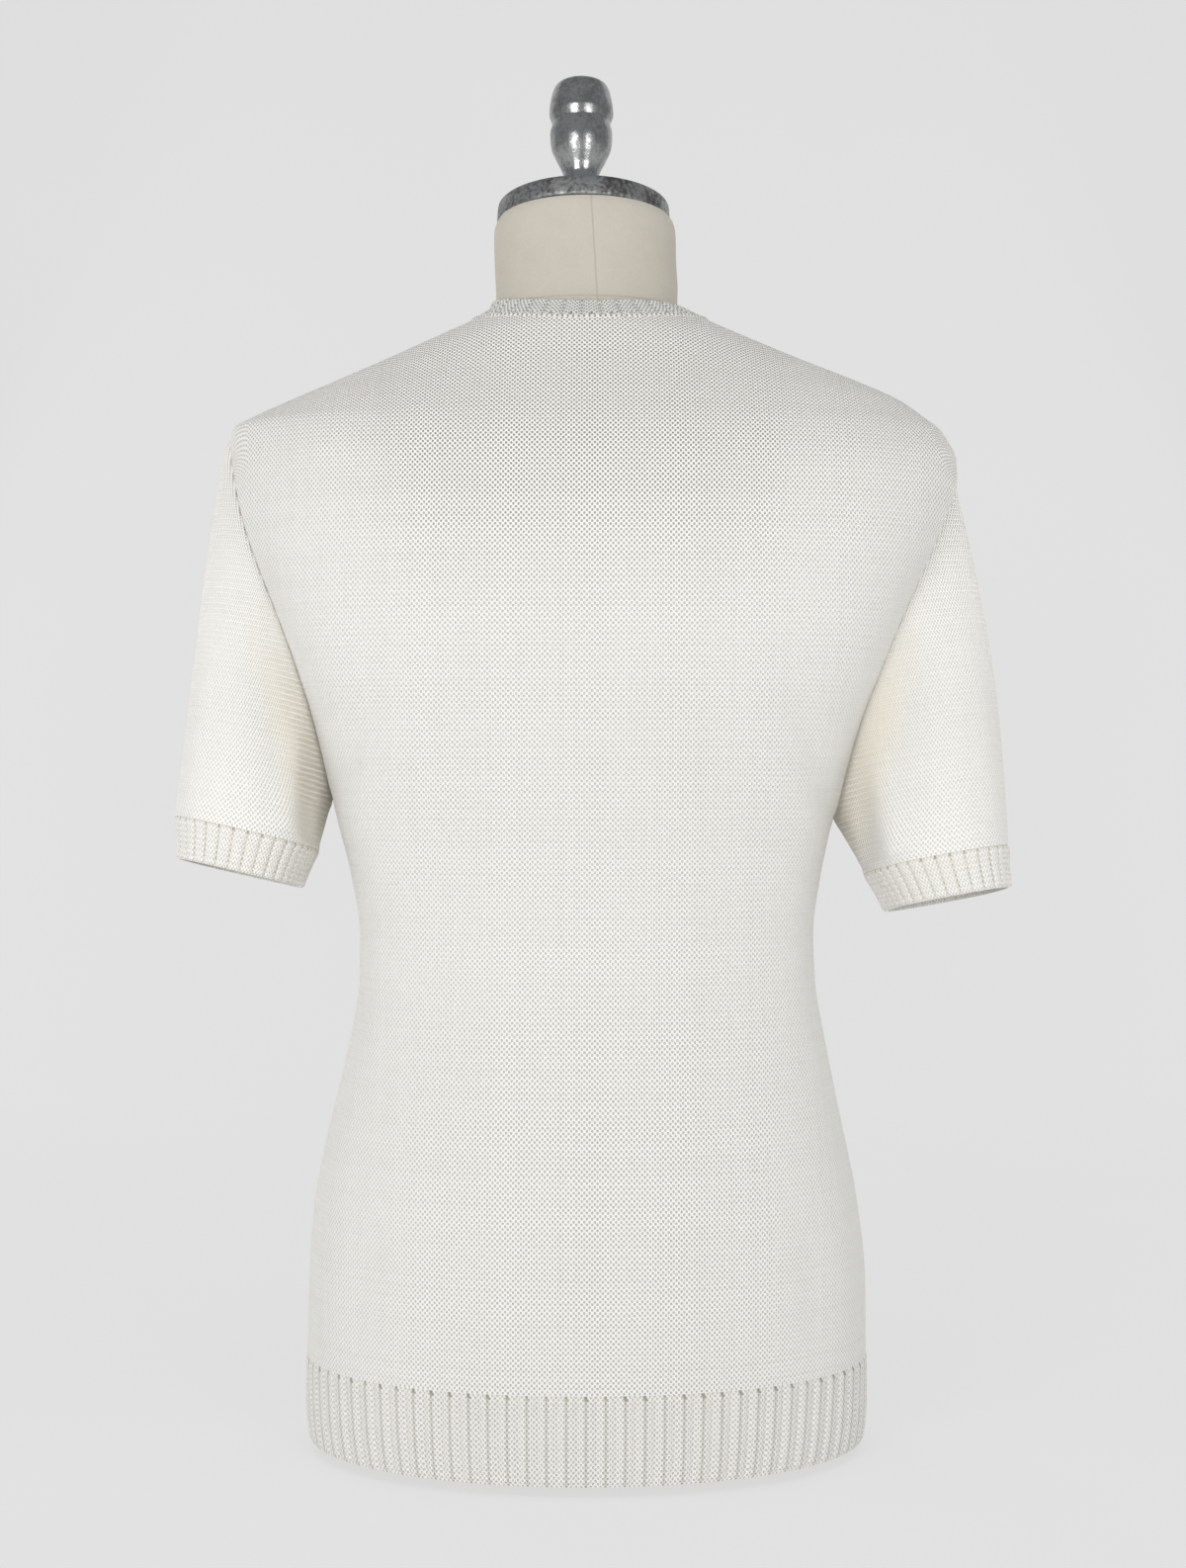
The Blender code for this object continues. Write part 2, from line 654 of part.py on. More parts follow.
def make_neckband(material):
    """The ribbed crew band, one loop linked to the neckline."""
    corners, corner_normals, ups = neck_loop()
    count = len(corners)
    lengths = np.linalg.norm(np.roll(corners, -1, axis=0) - corners, axis=1)
    reached = np.concatenate([[0.0], np.cumsum(lengths)])

    def seam_place(share):
        at = share * reached[-1]
        i = min(int(np.searchsorted(reached, at, side="right")) - 1, count - 1)
        f = (at - reached[i]) / lengths[i]
        after = (i + 1) % count
        return [values[i] * (1 - f) + values[after] * f for values in (corners, corner_normals, ups)]

    def place(share, level, stand_off):
        point, normal, up = seam_place(share)
        if level == 0:
            return point + normal * stand_off + HALF_GAP * up
        lifted = up_the_neck(point, BAND_WIDTH * level)
        angle = angle_of(lifted[0], lifted[1], lifted[2])
        return lifted + body_normal(angle, lifted[2]) * stand_off

    outside, inside = [], []
    for level, relief in zip(BAND_LEVELS, BAND_RELIEF):
        outside.append([
            place((rib + share) / BAND_RIBS, level, stand_off)
            for rib in range(BAND_RIBS)
            for share, stand_off in rib_shape(relief)
        ])
        inside.append([place(rib / BAND_RIBS, level, -WALL) for rib in range(BAND_RIBS)])
    inside = np.array(inside)[[0, -1]]
    return wall_object("neckband", np.array(outside), inside, True, material)


# --- Dress form -------------------------------------------------------------------------------------


def form_ring(height):
    """A ring of the torso, inside the cloth and rounded in at the foot."""
    left, right, back, front, squareness = body_sizes(height + FORM_LOWER)
    inset = FORM_INSET
    if height < FORM_BOTTOM_ROUND:
        drop = 1 - height / FORM_BOTTOM_ROUND
        inset += FORM_BOTTOM_ROUND * (1 - math.sqrt(1 - drop * drop))
    sizes = (left - inset, right - inset, back - inset, front - inset)
    least = [NECK[name](height) for name in ("left", "right", "back", "front")]
    sizes = [max(size, neck) for size, neck in zip(sizes, least)]
    return [(*section_point(turn, *sizes, squareness), height) for turn in form_turns()]


def form_turns():
    return [2 * math.pi * k / FORM_COLUMNS for k in range(FORM_COLUMNS)]


def neck_ring(row):
    height, left, right, back, front, tilt = row
    ring = []
    for turn in form_turns():
        x, y = section_point(turn, left, right, back, front, 2.0)
        ring.append((x, y, height + tilt * (y - CAP_CENTRE[1])))
    return ring


def make_form(material):
    rings = [form_ring(height) for height in FORM_TORSO_HEIGHTS] + [neck_ring(row) for row in NECK_SECTIONS]
    points = [point for ring in rings for point in ring]
    faces = grid_faces(len(rings), FORM_COLUMNS, 0, True)
    faces.append(tuple(range(FORM_COLUMNS))[::-1])
    last = len(points) - FORM_COLUMNS
    faces.append(tuple(range(last, len(points))))
    return mesh_object("form_body", points, faces, material)


def turned_object(name, profile, segments, material):
    """A solid turned round +Z from a profile of (radius, height), closed by flat faces at both ends."""
    points = [
        (radius * math.cos(turn), radius * math.sin(turn), height)
        for radius, height in profile
        for turn in (2 * math.pi * k / segments for k in range(segments))
    ]
    faces = grid_faces(len(profile), segments, 0, True)
    faces.append(tuple(range(segments))[::-1])
    last = len(points) - segments
    faces.append(tuple(range(last, len(points))))
    return mesh_object(name, points, faces, material)


def make_cap(material):
    """The metal disc on the form's neck."""
    cap = turned_object("neck_cap", CAP_PROFILE, CAP_SEGMENTS, material)
    cap.matrix_world = CAP_FRAME
    return cap


def make_knob(material):
    """The turned knob that stands square on the cap."""
    knob = turned_object("neck_knob", KNOB_PROFILE, KNOB_SEGMENTS, material)
    knob.matrix_world = CAP_FRAME @ Matrix.Translation(KNOB_OFFSET)
    return knob


# --- The whole object -------------------------------------------------------------------------------


def make_material(name):
    colour, metallic, roughness = MATERIALS[name]
    material = bpy.data.materials.new(name)
    material.use_nodes = True
    shader = material.node_tree.nodes["Principled BSDF"]
    shader.inputs["Base Color"].default_value = (*colour, 1.0)
    shader.inputs["Metallic"].default_value = metallic
    shader.inputs["Roughness"].default_value = roughness
    return material


def main():
    for obj in list(bpy.data.objects):
        bpy.data.objects.remove(obj)
    knit, canvas, metal = (make_material(name) for name in MATERIALS)
    joints = {side: armhole_joint(side) for side in ARMHOLES}
    for face, ribs in (("back", HEM_RIBS_BACK), ("front", HEM_RIBS_FRONT)):
        make_panel(face, joints, knit)
        make_hem(face, ribs, knit)
    for side in ARMHOLES:
        make_sleeve(side, joints[side], knit)
        make_cuff(side, knit)
    make_neckband(knit)
    make_form(canvas)
    make_cap(metal)
    make_knob(metal)


main()
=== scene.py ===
"""Visual model of a short-sleeved crew-neck knit top on a limbless dress form, with camera and light.

Metres, +Z up. The wearer's front faces -Y, the wearer's left is +X. Every cloth piece is a closed thin
shell whose UV map counts stitches: u across the wales and v up the courses.
"""

import math

import bmesh
import bpy
import numpy as np
from mathutils import Matrix, Vector


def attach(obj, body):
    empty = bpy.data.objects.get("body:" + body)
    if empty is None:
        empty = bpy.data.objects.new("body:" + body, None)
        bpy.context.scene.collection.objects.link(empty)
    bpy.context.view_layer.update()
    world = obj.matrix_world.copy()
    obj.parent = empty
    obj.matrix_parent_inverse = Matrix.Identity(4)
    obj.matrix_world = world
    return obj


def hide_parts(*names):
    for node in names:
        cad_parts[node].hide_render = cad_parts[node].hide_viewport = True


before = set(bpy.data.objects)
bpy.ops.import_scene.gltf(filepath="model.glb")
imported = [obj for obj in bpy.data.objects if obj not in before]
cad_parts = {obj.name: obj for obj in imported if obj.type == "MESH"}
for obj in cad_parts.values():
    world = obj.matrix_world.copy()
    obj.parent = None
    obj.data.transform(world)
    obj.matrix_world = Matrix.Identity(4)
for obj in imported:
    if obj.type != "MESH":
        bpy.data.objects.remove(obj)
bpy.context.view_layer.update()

# Cloth
WALL = 0.0022
HALF_GAP = 0.00003
MITRE_LEAST_COSINE = 0.60
HEM_HEIGHT = 0.006
WELT_LINE = 0.0585
WALE = 0.00300
COURSE = 0.00322
RIB_WALES = 4

# Outer face of the body cloth, one row for each height
BODY_SECTIONS = (
    # height, left, right, back, front, squareness
    (0.0060, 0.1688, 0.1708, 0.1150, 0.1040, 2.02),
    (0.0300, 0.1705, 0.1725, 0.1165, 0.1055, 2.08),
    (0.0585, 0.1702, 0.1723, 0.1180, 0.1060, 2.15),
    (0.1030, 0.1690, 0.1718, 0.1210, 0.1060, 2.22),
    (0.1510, 0.1655, 0.1668, 0.1200, 0.1040, 2.28),
    (0.2000, 0.1558, 0.1570, 0.1100, 0.1010, 2.30),
    (0.2490, 0.1442, 0.1472, 0.0970, 0.0990, 2.30),
    (0.2850, 0.1385, 0.1412, 0.0885, 0.0995, 2.32),
    (0.3150, 0.1382, 0.1400, 0.0865, 0.1015, 2.35),
    (0.3466, 0.1427, 0.1440, 0.0885, 0.1050, 2.40),
    (0.3710, 0.1484, 0.1488, 0.0920, 0.1090, 2.45),
    (0.3890, 0.1533, 0.1538, 0.0955, 0.1120, 2.50),
    (0.4117, 0.1580, 0.1600, 0.1000, 0.1150, 2.60),
    (0.4468, 0.1680, 0.1720, 0.1065, 0.1180, 2.75),
    (0.4696, 0.1762, 0.1815, 0.1100, 0.1190, 2.85),
    (0.5057, 0.1895, 0.1955, 0.1140, 0.1190, 2.95),
    (0.5352, 0.2005, 0.2075, 0.1150, 0.1170, 2.95),
    (0.5660, 0.2095, 0.2190, 0.1135, 0.1125, 2.85),
    (0.5905, 0.2140, 0.2272, 0.1090, 0.1070, 2.70),
    (0.6027, 0.2158, 0.2270, 0.1055, 0.1025, 2.60),
    (0.6149, 0.2170, 0.2220, 0.1005, 0.0970, 2.45),
    (0.6216, 0.2165, 0.2180, 0.0970, 0.0925, 2.35),
    (0.6270, 0.2080, 0.2115, 0.0940, 0.0885, 2.25),
    (0.6392, 0.1830, 0.1955, 0.0868, 0.0815, 2.10),
    (0.6514, 0.1555, 0.1690, 0.0795, 0.0770, 2.00),
    (0.6636, 0.1274, 0.1378, 0.0722, 0.0735, 2.00),
    (0.6758, 0.1000, 0.1079, 0.0657, 0.0705, 2.00),
    (0.6805, 0.0895, 0.0967, 0.0628, 0.0695, 2.00),
    (0.6880, 0.0732, 0.0798, 0.0550, 0.0680, 2.00),
    (0.6940, 0.0625, 0.0672, 0.0495, 0.0672, 2.00),
    (0.6985, 0.0577, 0.0600, 0.0475, 0.0665, 2.00),
    (0.7040, 0.0573, 0.0595, 0.0470, 0.0660, 2.00),
)
TURNS_OVER_ABOVE = 0.50
STEEPEST_SHARE = 0.93
COURSE_BLUR = 4
COURSE_TABLE_REACH = 0.235
COURSE_TABLE_SIZE = (95, 650)
LAST_CELL_INSET = 1.001
ARM_LEVEL = (0.50, 0.58)
SHOULDER_TOP = (0.585, 0.612)
SHOULDER_STRETCH = 2.19
SEARCH_STEPS = 22

# Rows and columns of the solids, and how many times finer the shells are
PANEL_COLUMNS = 28
SIDE_ROWS = 8
ARMHOLE_ROWS = 11
SHOULDER_ROWS = 5
FINER = 6
EDGE_LINES = (0.00, 0.05, 0.15, 0.35, 0.65)
UNDERARM_CENTRE = 0.3955
SHOULDER_CENTRE = {"back": 0.6120, "front": 0.5600}
SIDE_BLEND = 0.7
SIGN = {"back": 1, "front": -1}

# Neckline and its band
NECK_ACROSS = {"left": 0.0712, "right": 0.0772}
NECK_ALONG = {"back": 0.0625, "front": -0.0975}
BAND_WIDTH = 0.0190
BAND_RIBS = 42
BAND_LEVELS = (0, 0.02, 0.05, 0.10, 0.15, 0.19, 0.23, 0.30, 0.42, 0.55, 0.70, 0.84, 0.93, 0.97, 1.0)
BAND_RIBS_FADE = ((0.16, 0.30), (0.90, 1.0))
BAND_RIBS_LOST = 0.6
# The linking ridge and the dip above it: height, level and half-width
BAND_RIDGE = (0.0011, 0.09, 0.055)
BAND_DIP = (0.0008, 0.21, 0.035)
BAND_FOOT_DROP = 0.0004
BAND_EDGE = (0.965, 1.0)
BAND_EDGE_SINK = 0.0008

ARMHOLES = {
    # side: (underarm, tip, reach, skew)
    "left": (0.3978, 0.6216, 0.445, 1.12),
    "right": (0.3850, 0.5941, 0.430, 1.12),
}
ARMHOLE_ROUNDNESS = 0.55
ARMHOLE_END_SPACING = 0.09
FRONT_SCYE_DEEPER = 1.12
OUTWARD = {"left": 1, "right": -1}

CUFFS = {
    # centre, half-width and half-depth at the top and at the bottom, and the rise outward and backward
    "left": (
        (0.2087, -0.0060, 0.3749, 0.0440, 0.0620), (0.2134, -0.0075, 0.3503, 0.0380, 0.0595), 0.228, 0.085
    ),
    "right": (
        (-0.2165, -0.0040, 0.3585, 0.0438, 0.0620), (-0.2242, -0.0055, 0.3342, 0.0380, 0.0595), 0.180, 0.105
    ),
}
CUFF_RIBS = 40
CUFF_WAIST = 0.0006
CUFF_SQUARENESS = 2.4
SLEEVE_RINGS = 9
SLEEVE_SWELL = {"left": 0.0044, "right": 0.0068}
SLEEVE_FULLEST = {"left": 0.22, "right": 0.50}
SWELL_MEAN = 0.50
SWELL_SWING = 0.50
SLEEVE_FIRST_LINES = (0.0, 0.002, 0.005, 0.010)
SLEEVE_LAST_LINES = (0.985, 0.995, 1.0)

HEM_RIBS = {"back": 41, "front": 39}
RIB_STEPS = 12
RIB_CREST = 0.0005
RIB_GROOVE = -0.0010
RIB_GROOVE_HALF = 0.19
RIB_GROOVE_FLOOR = 0.02
RIB_ROUNDING = 0.0002
SPREAD_SAMPLES = 720
# Levels across the hem and cuffs close to both edges, and how the ribs fade and the face sinks there
LOW_LEVELS = (0.0, 0.012, 0.035)
HIGH_LEVELS = (0.965, 0.988, 1.0)
INNER_LEVELS = (0.07, 0.93)
RIBS_FADE = ((-0.02, 0.10), (0.92, 1.0))
RIBS_LOST = 0.5
HEM_LINES = 14
HEM_EDGE_SINKS = (0.0007, 0.0004)
CUFF_LINES = 9
CUFF_EDGE_SINKS = (0.0007, 0.0007)

# Edges sharper than this many degrees are drawn sharp
SHARP_FROM = 60
SHEET_SHARP_FROM = 32
FORM_SHARP_FROM = 40
CAP_SHARP_FROM = 35
KNOB_SHARP_FROM = 50

# Seams: how far the cloth sinks into a seam, over what distance, and the height, place and half-width of
# the soft ridge beside it
SEAM_SINK = 0.00004
SEAM_SINK_WIDTH = 0.0016
SEAM_RIDGE = (0.0003, 0.0050, 0.0030)

# Soft troughs and ridges of the body cloth: both ends seen from behind, half-width, and height outward
BODY_FOLDS = {
    "back": (
        # x0, z0, x1, z1, half-width, height
        (0.150, 0.395, 0.118, 0.470, 0.0090, -0.0016),
        (0.138, 0.385, 0.098, 0.440, 0.0100, 0.0012),
        (-0.150, 0.385, -0.120, 0.465, 0.0095, -0.0017),
        (-0.139, 0.372, -0.100, 0.432, 0.0100, 0.0013),
        (0.120, 0.300, 0.060, 0.286, 0.0085, -0.0010),
        (-0.122, 0.292, -0.066, 0.280, 0.0085, -0.0012),
        (-0.125, 0.262, -0.080, 0.255, 0.0080, 0.0008),
        (-0.130, 0.150, -0.135, 0.082, 0.0120, -0.0014),
        (0.128, 0.140, 0.133, 0.084, 0.0120, -0.0012),
        (0.165, 0.610, 0.120, 0.600, 0.0120, 0.0010),
        (-0.172, 0.596, -0.128, 0.590, 0.0120, 0.0010),
    ),
    "front": (
        (0.146, 0.392, 0.110, 0.478, 0.0095, -0.0018),
        (0.132, 0.380, 0.094, 0.446, 0.0100, 0.0013),
        (-0.148, 0.380, -0.114, 0.470, 0.0095, -0.0018),
        (-0.134, 0.370, -0.096, 0.438, 0.0100, 0.0014),
        (0.112, 0.302, 0.050, 0.292, 0.0085, -0.0011),
        (-0.110, 0.296, -0.042, 0.284, 0.0085, -0.0010),
        (0.100, 0.150, 0.108, 0.084, 0.0120, -0.0013),
        (-0.090, 0.160, -0.098, 0.086, 0.0120, -0.0012),
    ),
}
# Soft folds of the sleeves: turn and share of the length at both ends, half-widths, and height outward
SLEEVE_FOLDS = (
    # turn0, along0, turn1, along1, half-width of turn and along, height
    (1.98, 0.30, 2.34, 1.05, 0.17, 0.0024),
    (2.42, 0.28, 2.80, 1.05, 0.20, -0.0026),
    (1.30, 0.22, 1.05, 0.80, 0.22, -0.0008),
    (-1.95, 0.28, -2.36, 1.05, 0.18, 0.0022),
    (-2.40, 0.25, -2.78, 1.05, 0.20, -0.0024),
    (-1.10, 0.25, -0.80, 0.85, 0.20, -0.0010),
)

# How folds fade in and out along their own length and towards the pieces' edges
BODY_FOLD_FADES = ((-0.30, 0.25), (0.75, 1.45))
BODY_FOLD_MARGIN = 0.020
SLEEVE_FOLD_FADES = ((-0.35, 0.20), (0.80, 1.40))
SLEEVE_FOLD_MARGINS = ((0, 0.10), (0.88, 1))

# Dress form
FORM_INSET = 0.0052
FORM_LOWER = 0.0045
FORM_BOTTOM_ROUND = 0.0220
FORM_COLUMNS = 128
TORSO_TOP = 0.6880
FOOT_RINGS = 9
TORSO_RINGS = ((0.03, 0.55, 50), (0.56, TORSO_TOP, 40))
NECK_RINGS = 24
NECK_SECTIONS = (
    # height, left, right, back, front, tilt
    (0.6960, 0.0544, 0.0566, 0.0454, 0.0615, 0.00),
    (0.7100, 0.0549, 0.0571, 0.0461, 0.0613, 0.03),
    (0.7260, 0.0557, 0.0562, 0.0470, 0.0612, 0.08),
    (0.7420, 0.0560, 0.0558, 0.0472, 0.0610, 0.13),
    (0.7472, 0.0551, 0.0550, 0.0467, 0.0600, 0.14),
    (0.7508, 0.0530, 0.0528, 0.0447, 0.0578, 0.14),
)
NECK_SEAM_X = -0.0042
NECK_SEAM_LEAN = -0.060
NECK_SEAM_LOW = 0.6978
NECK_SEAM_DEPTH = 0.0005
NECK_SEAM_WIDTH = 0.0014
NECK_SEAM_FROM = 0.69

# Metal neck cap and its knob
CAP_CENTRE = (0.0010, -0.0072, 0.7511)
CAP_FRAME = Matrix.Translation(CAP_CENTRE) @ Matrix.Rotation(math.atan(0.14), 4, "X")
CAP_PROFILE = (
    # radius, height above the neck
    (0.0300, 0.0000), (0.0524, 0.0000), (0.0533, 0.0010), (0.0535, 0.0025),
    (0.0529, 0.0108), (0.0519, 0.0121), (0.0500, 0.0126), (0.0260, 0.0127),
)
KNOB_OFFSET = (0.0014, 0.0, 0.0129)
KNOB_PROFILE = (
    # radius, height above the cap
    (0.0172, 0.0000), (0.0172, 0.0026), (0.0148, 0.0060), (0.0112, 0.0125),
    (0.0112, 0.0195), (0.0126, 0.0242), (0.0147, 0.0285), (0.0168, 0.0327),
    (0.0185, 0.0371), (0.0193, 0.0425), (0.0194, 0.0470), (0.0188, 0.0505),
    (0.0182, 0.0536), (0.0190, 0.0562), (0.0200, 0.0600), (0.0198, 0.0645),
    (0.0189, 0.0698), (0.0176, 0.0748), (0.0160, 0.0778), (0.0130, 0.0798),
    (0.0075, 0.0806),
)
TURNED_SEGMENTS = 96
CAP_STEPS = 3
KNOB_STEPS = 6

# Camera: level, looking along -Y
CAMERA_PLACE = (-0.0049, 1.4500, 0.4057)
SENSOR_HEIGHT = 36.0
FOCAL_LENGTH = 53.98


# --- Curves and sections of the body ---


def curve_through(stations, values):
    """A smooth curve through the values that never swings past one of them, for arrays."""
    stations, values = np.asarray(stations, float), np.asarray(values, float)
    steps = np.diff(stations)
    slopes = np.diff(values) / steps
    before, after = slopes[:-1], slopes[1:]
    near, far = 2 * steps[1:] + steps[:-1], steps[1:] + 2 * steps[:-1]
    with np.errstate(divide="ignore", invalid="ignore"):
        means = (near + far) / (near / before + far / after)
    inner = np.where(before * after > 0, means, 0.0)
    tangents = np.concatenate([slopes[:1], inner, slopes[-1:]])

    def value(at):
        at = np.clip(at, stations[0], stations[-1])
        i = np.clip(np.searchsorted(stations, at) - 1, 0, len(steps) - 1)
        f = (at - stations[i]) / steps[i]
        start = values[i] * (1 + 2 * f) + steps[i] * tangents[i] * f
        end = values[i + 1] * (3 - 2 * f) - steps[i] * tangents[i + 1] * (1 - f)
        return start * (1 - f) ** 2 + end * f**2

    return value


def section_curves(rows):
    columns = np.array(rows).T
    return [curve_through(columns[0], column) for column in columns[1:]]


BODY = section_curves(BODY_SECTIONS)
NECK = section_curves(NECK_SECTIONS)


def reaches(x, y, sizes):
    """How far a section reaches across and along the body, on the side of a place."""
    left, right, back, front = sizes[:4]
    return np.where(x >= 0, left, right), np.where(y >= 0, back, front)


def section_point(angle, *sizes):
    c, s = np.cos(angle), np.sin(angle)
    squareness = sizes[4]
    radius = (np.abs(c) ** squareness + np.abs(s) ** squareness) ** (-1 / squareness)
    across, along = reaches(c, s, sizes)
    return across * c * radius, along * s * radius


def body_sizes(height):
    return [curve(height) for curve in BODY]


def body_point(angle, height):
    angle, height = np.broadcast_arrays(np.asarray(angle, float), np.asarray(height, float))
    x, y = section_point(angle, *body_sizes(height))
    return np.stack([x, y, height], axis=-1)


def shares(count):
    return np.arange(count + 1) / count


def lengths_along(points):
    """Length from the first point to each point of a line, or of each row of a grid."""
    steps = np.linalg.norm(np.diff(points, axis=-2), axis=-1)
    return np.concatenate([np.zeros((*steps.shape[:-1], 1)), np.cumsum(steps, axis=-1)], axis=-1)


def unit(vectors):
    return vectors / np.maximum(np.linalg.norm(vectors, axis=-1, keepdims=True), 1e-12)


def body_normal(angle, height, step=1e-4):
    round_it = body_point(angle + step, height) - body_point(angle - step, height)
    upward = body_point(angle, height + step) - body_point(angle, height - step)
    return unit(np.cross(round_it, upward))


def height_over(x, y):
    low = np.full(np.shape(x), TURNS_OVER_ABOVE)
    high = np.full(np.shape(x), BODY_SECTIONS[-1][0])
    for _ in range(SEARCH_STEPS):
        middle = (low + high) / 2
        sizes = body_sizes(middle)
        across, along = reaches(x, y, sizes)
        inside = (np.abs(x) / across) ** sizes[4] + (np.abs(y) / along) ** sizes[4] < 1
        low, high = np.where(inside, middle, low), np.where(inside, high, middle)
    return (low + high) / 2


def angle_of(x, y, height):
    across, along = reaches(x, y, body_sizes(height))
    return np.arctan2(y / along, x / across)


def smooth_step(low, high, value):
    share = np.clip((value - low) / (high - low), 0, 1)
    return share * share * (3 - 2 * share)


def between(starts, ends, value, lost=1):
    """Rises softly from 0 to 1 over the starts and loses a share of that over the ends."""
    return smooth_step(*starts, value) * (1 - lost * smooth_step(*ends, value))


def bell(offset, half_width):
    return np.exp(-((offset / half_width) ** 2))


def soft_ridge(at, height, place, half_width):
    return height * bell(at - place, half_width)


def fold_heights(folds, across, up, fades):
    """How far soft troughs and ridges, each between two places on two axes, lift or sink the cloth."""
    total = np.zeros(np.broadcast(across, up).shape)
    for across0, up0, across1, up1, width, height in folds:
        da, du = across1 - across0, up1 - up0
        a, u = across - across0, up - up0
        share = (a * da + u * du) / (da * da + du * du)
        beside = np.abs(a * du - u * da) / math.hypot(da, du)
        total += height * between(*fades, share) * bell(beside, width)
    return total


# --- Closed shells ---


def grid_quads(rows, columns, wrap):
    """Quads of a grid as (row, column) corners, where a wrapped grid's last column is numbered on."""
    j, k = np.meshgrid(np.arange(rows - 1), np.arange(columns if wrap else columns - 1), indexing="ij")
    j, k = j.ravel(), k.ravel()
    return np.stack([j, k, j, k + 1, j + 1, k + 1, j + 1, k], axis=1).reshape(-1, 4, 2)


def shell_object(name, outside, inside, uv, wrap, material, sharp=SHARP_FROM):
    """A closed shell between two grids of the same size. A wrapped grid's uv has one more column."""
    rows, columns = outside.shape[:2]
    quads = grid_quads(rows, columns, wrap)
    outer = quads[:, :, 0] * columns + quads[:, :, 1] % columns
    corners = uv[quads[:, :, 0], quads[:, :, 1]]
    faces, uvs = [outer, (outer + rows * columns)[:, ::-1]], [corners, corners[:, ::-1]]

    def rim(js, ks):
        """The strip between the two grids along a line of them."""
        index = js * columns + ks % columns
        first, second = index[:-1], index[1:]
        faces.append(np.stack([first, second, second + rows * columns, first + rows * columns], axis=1))
        along = uv[js, ks]
        uvs.append(np.stack([along[:-1], along[1:], along[1:], along[:-1]], axis=1))

    js, ks = np.arange(rows), np.arange(columns + wrap)
    rim(0 * ks, ks)
    rim(0 * ks + rows - 1, ks)
    if not wrap:
        rim(js, 0 * js)
        rim(js, 0 * js + columns - 1)
    points = np.concatenate([outside.reshape(-1, 3), inside.reshape(-1, 3)])
    return mesh_object(name, points, np.concatenate(faces).tolist(), material, np.concatenate(uvs), sharp)


def mesh_object(name, points, faces, material, uvs=None, sharp=SHARP_FROM):
    mesh = bpy.data.meshes.new(name)
    mesh.from_pydata(points.tolist(), [], faces)
    if uvs is not None:
        mesh.uv_layers.new(name="stitches").data.foreach_set("uv", uvs.astype(np.float32).ravel())
    shape = bmesh.new()
    shape.from_mesh(mesh)
    bmesh.ops.recalc_face_normals(shape, faces=shape.faces)
    shape.to_mesh(mesh)
    shape.free()
    mesh.shade_smooth()
    mesh.set_sharp_from_angle(angle=math.radians(sharp))
    mesh.materials.append(material)
    return add_object(name, mesh)


def add_object(name, data):
    obj = bpy.data.objects.new(name, data)
    bpy.context.scene.collection.objects.link(obj)
    return obj


# --- Panels ---


def armhole_edge(side, face, at):
    """(angle, height) of an armhole's edge for row numbers of the solids from the underarm to the tip."""
    underarm, tip, reach, skew = ARMHOLES[side]
    reach = reach * (FRONT_SCYE_DEEPER if face == "front" else 1.0)
    row = np.arange(ARMHOLE_ROWS + 1)
    share = row / ARMHOLE_ROWS
    share = share - ARMHOLE_END_SPACING * np.sin(2 * np.pi * share)
    down = np.clip(1 - share, 0, 1)
    angle = reach * np.maximum(np.sin(np.pi * down**skew), 0) ** ARMHOLE_ROUNDNESS
    angle[[0, -1]] = 0.0
    return curve_through(row, angle)(at), curve_through(row, underarm + (tip - underarm) * share)(at)


def neck_place(turn, face):
    across = np.where(np.cos(turn) >= 0, NECK_ACROSS["left"], NECK_ACROSS["right"])
    x, y = across * np.cos(turn), NECK_ALONG[face] * np.sin(turn)
    height = height_over(x, y)
    return angle_of(x, y, height), height


def panel_shares():
    """Shares across a panel, with some more lines close to both edges."""
    first = np.array(EDGE_LINES) / PANEL_COLUMNS
    return np.concatenate([first, shares(PANEL_COLUMNS * FINER)[FINER:-FINER], 1 - first[::-1]])


def panel_places(face):
    """Angles and heights of a panel's grid, from the welt line to the neckline."""
    share = panel_shares()[None, :]
    side = shares(SIDE_ROWS * FINER)[:-1, None]
    arm = (np.arange(ARMHOLE_ROWS * FINER + 1) / FINER)[:, None]
    up = arm / ARMHOLE_ROWS
    edges = {name: armhole_edge(name, face, arm) for name in ARMHOLES}

    def heights_from_welt(underarm, above):
        return np.vstack([WELT_LINE + (underarm - WELT_LINE) * side, above])

    left, right = (heights_from_welt(ARMHOLES[name][0], edges[name][1]) for name in edges)
    middle_above = UNDERARM_CENTRE + (SHOULDER_CENTRE[face] - UNDERARM_CENTRE) * up
    centre = heights_from_welt(UNDERARM_CENTRE, middle_above)
    start, end = (np.vstack([side * 0, edges[name][0]]) for name in edges)
    angle = start + (np.pi - end - start) * share

    def height_at(at):
        c, s = np.cos(at), np.sin(at)
        return centre * s * s + np.where(c >= 0, left, right) * c * c

    height = height_at(angle)
    near_left = np.clip(1 - share * PANEL_COLUMNS * SIDE_BLEND, 0, 1) ** 2
    near_right = np.clip(1 - (1 - share) * PANEL_COLUMNS * SIDE_BLEND, 0, 1) ** 2
    height = height + (left - height_at(start)) * near_left + (right - height_at(np.pi - end)) * near_right
    neck_angle, neck_height = neck_place(np.pi * share, face)
    rise = shares(SHOULDER_ROWS * FINER)[1:, None]
    angle = angle * SIGN[face]
    angle = np.vstack([angle, angle[-1:] * (1 - rise) + neck_angle * rise])
    height = np.vstack([height, height[-1:] * (1 - rise) + neck_height * rise])
    return angle, height


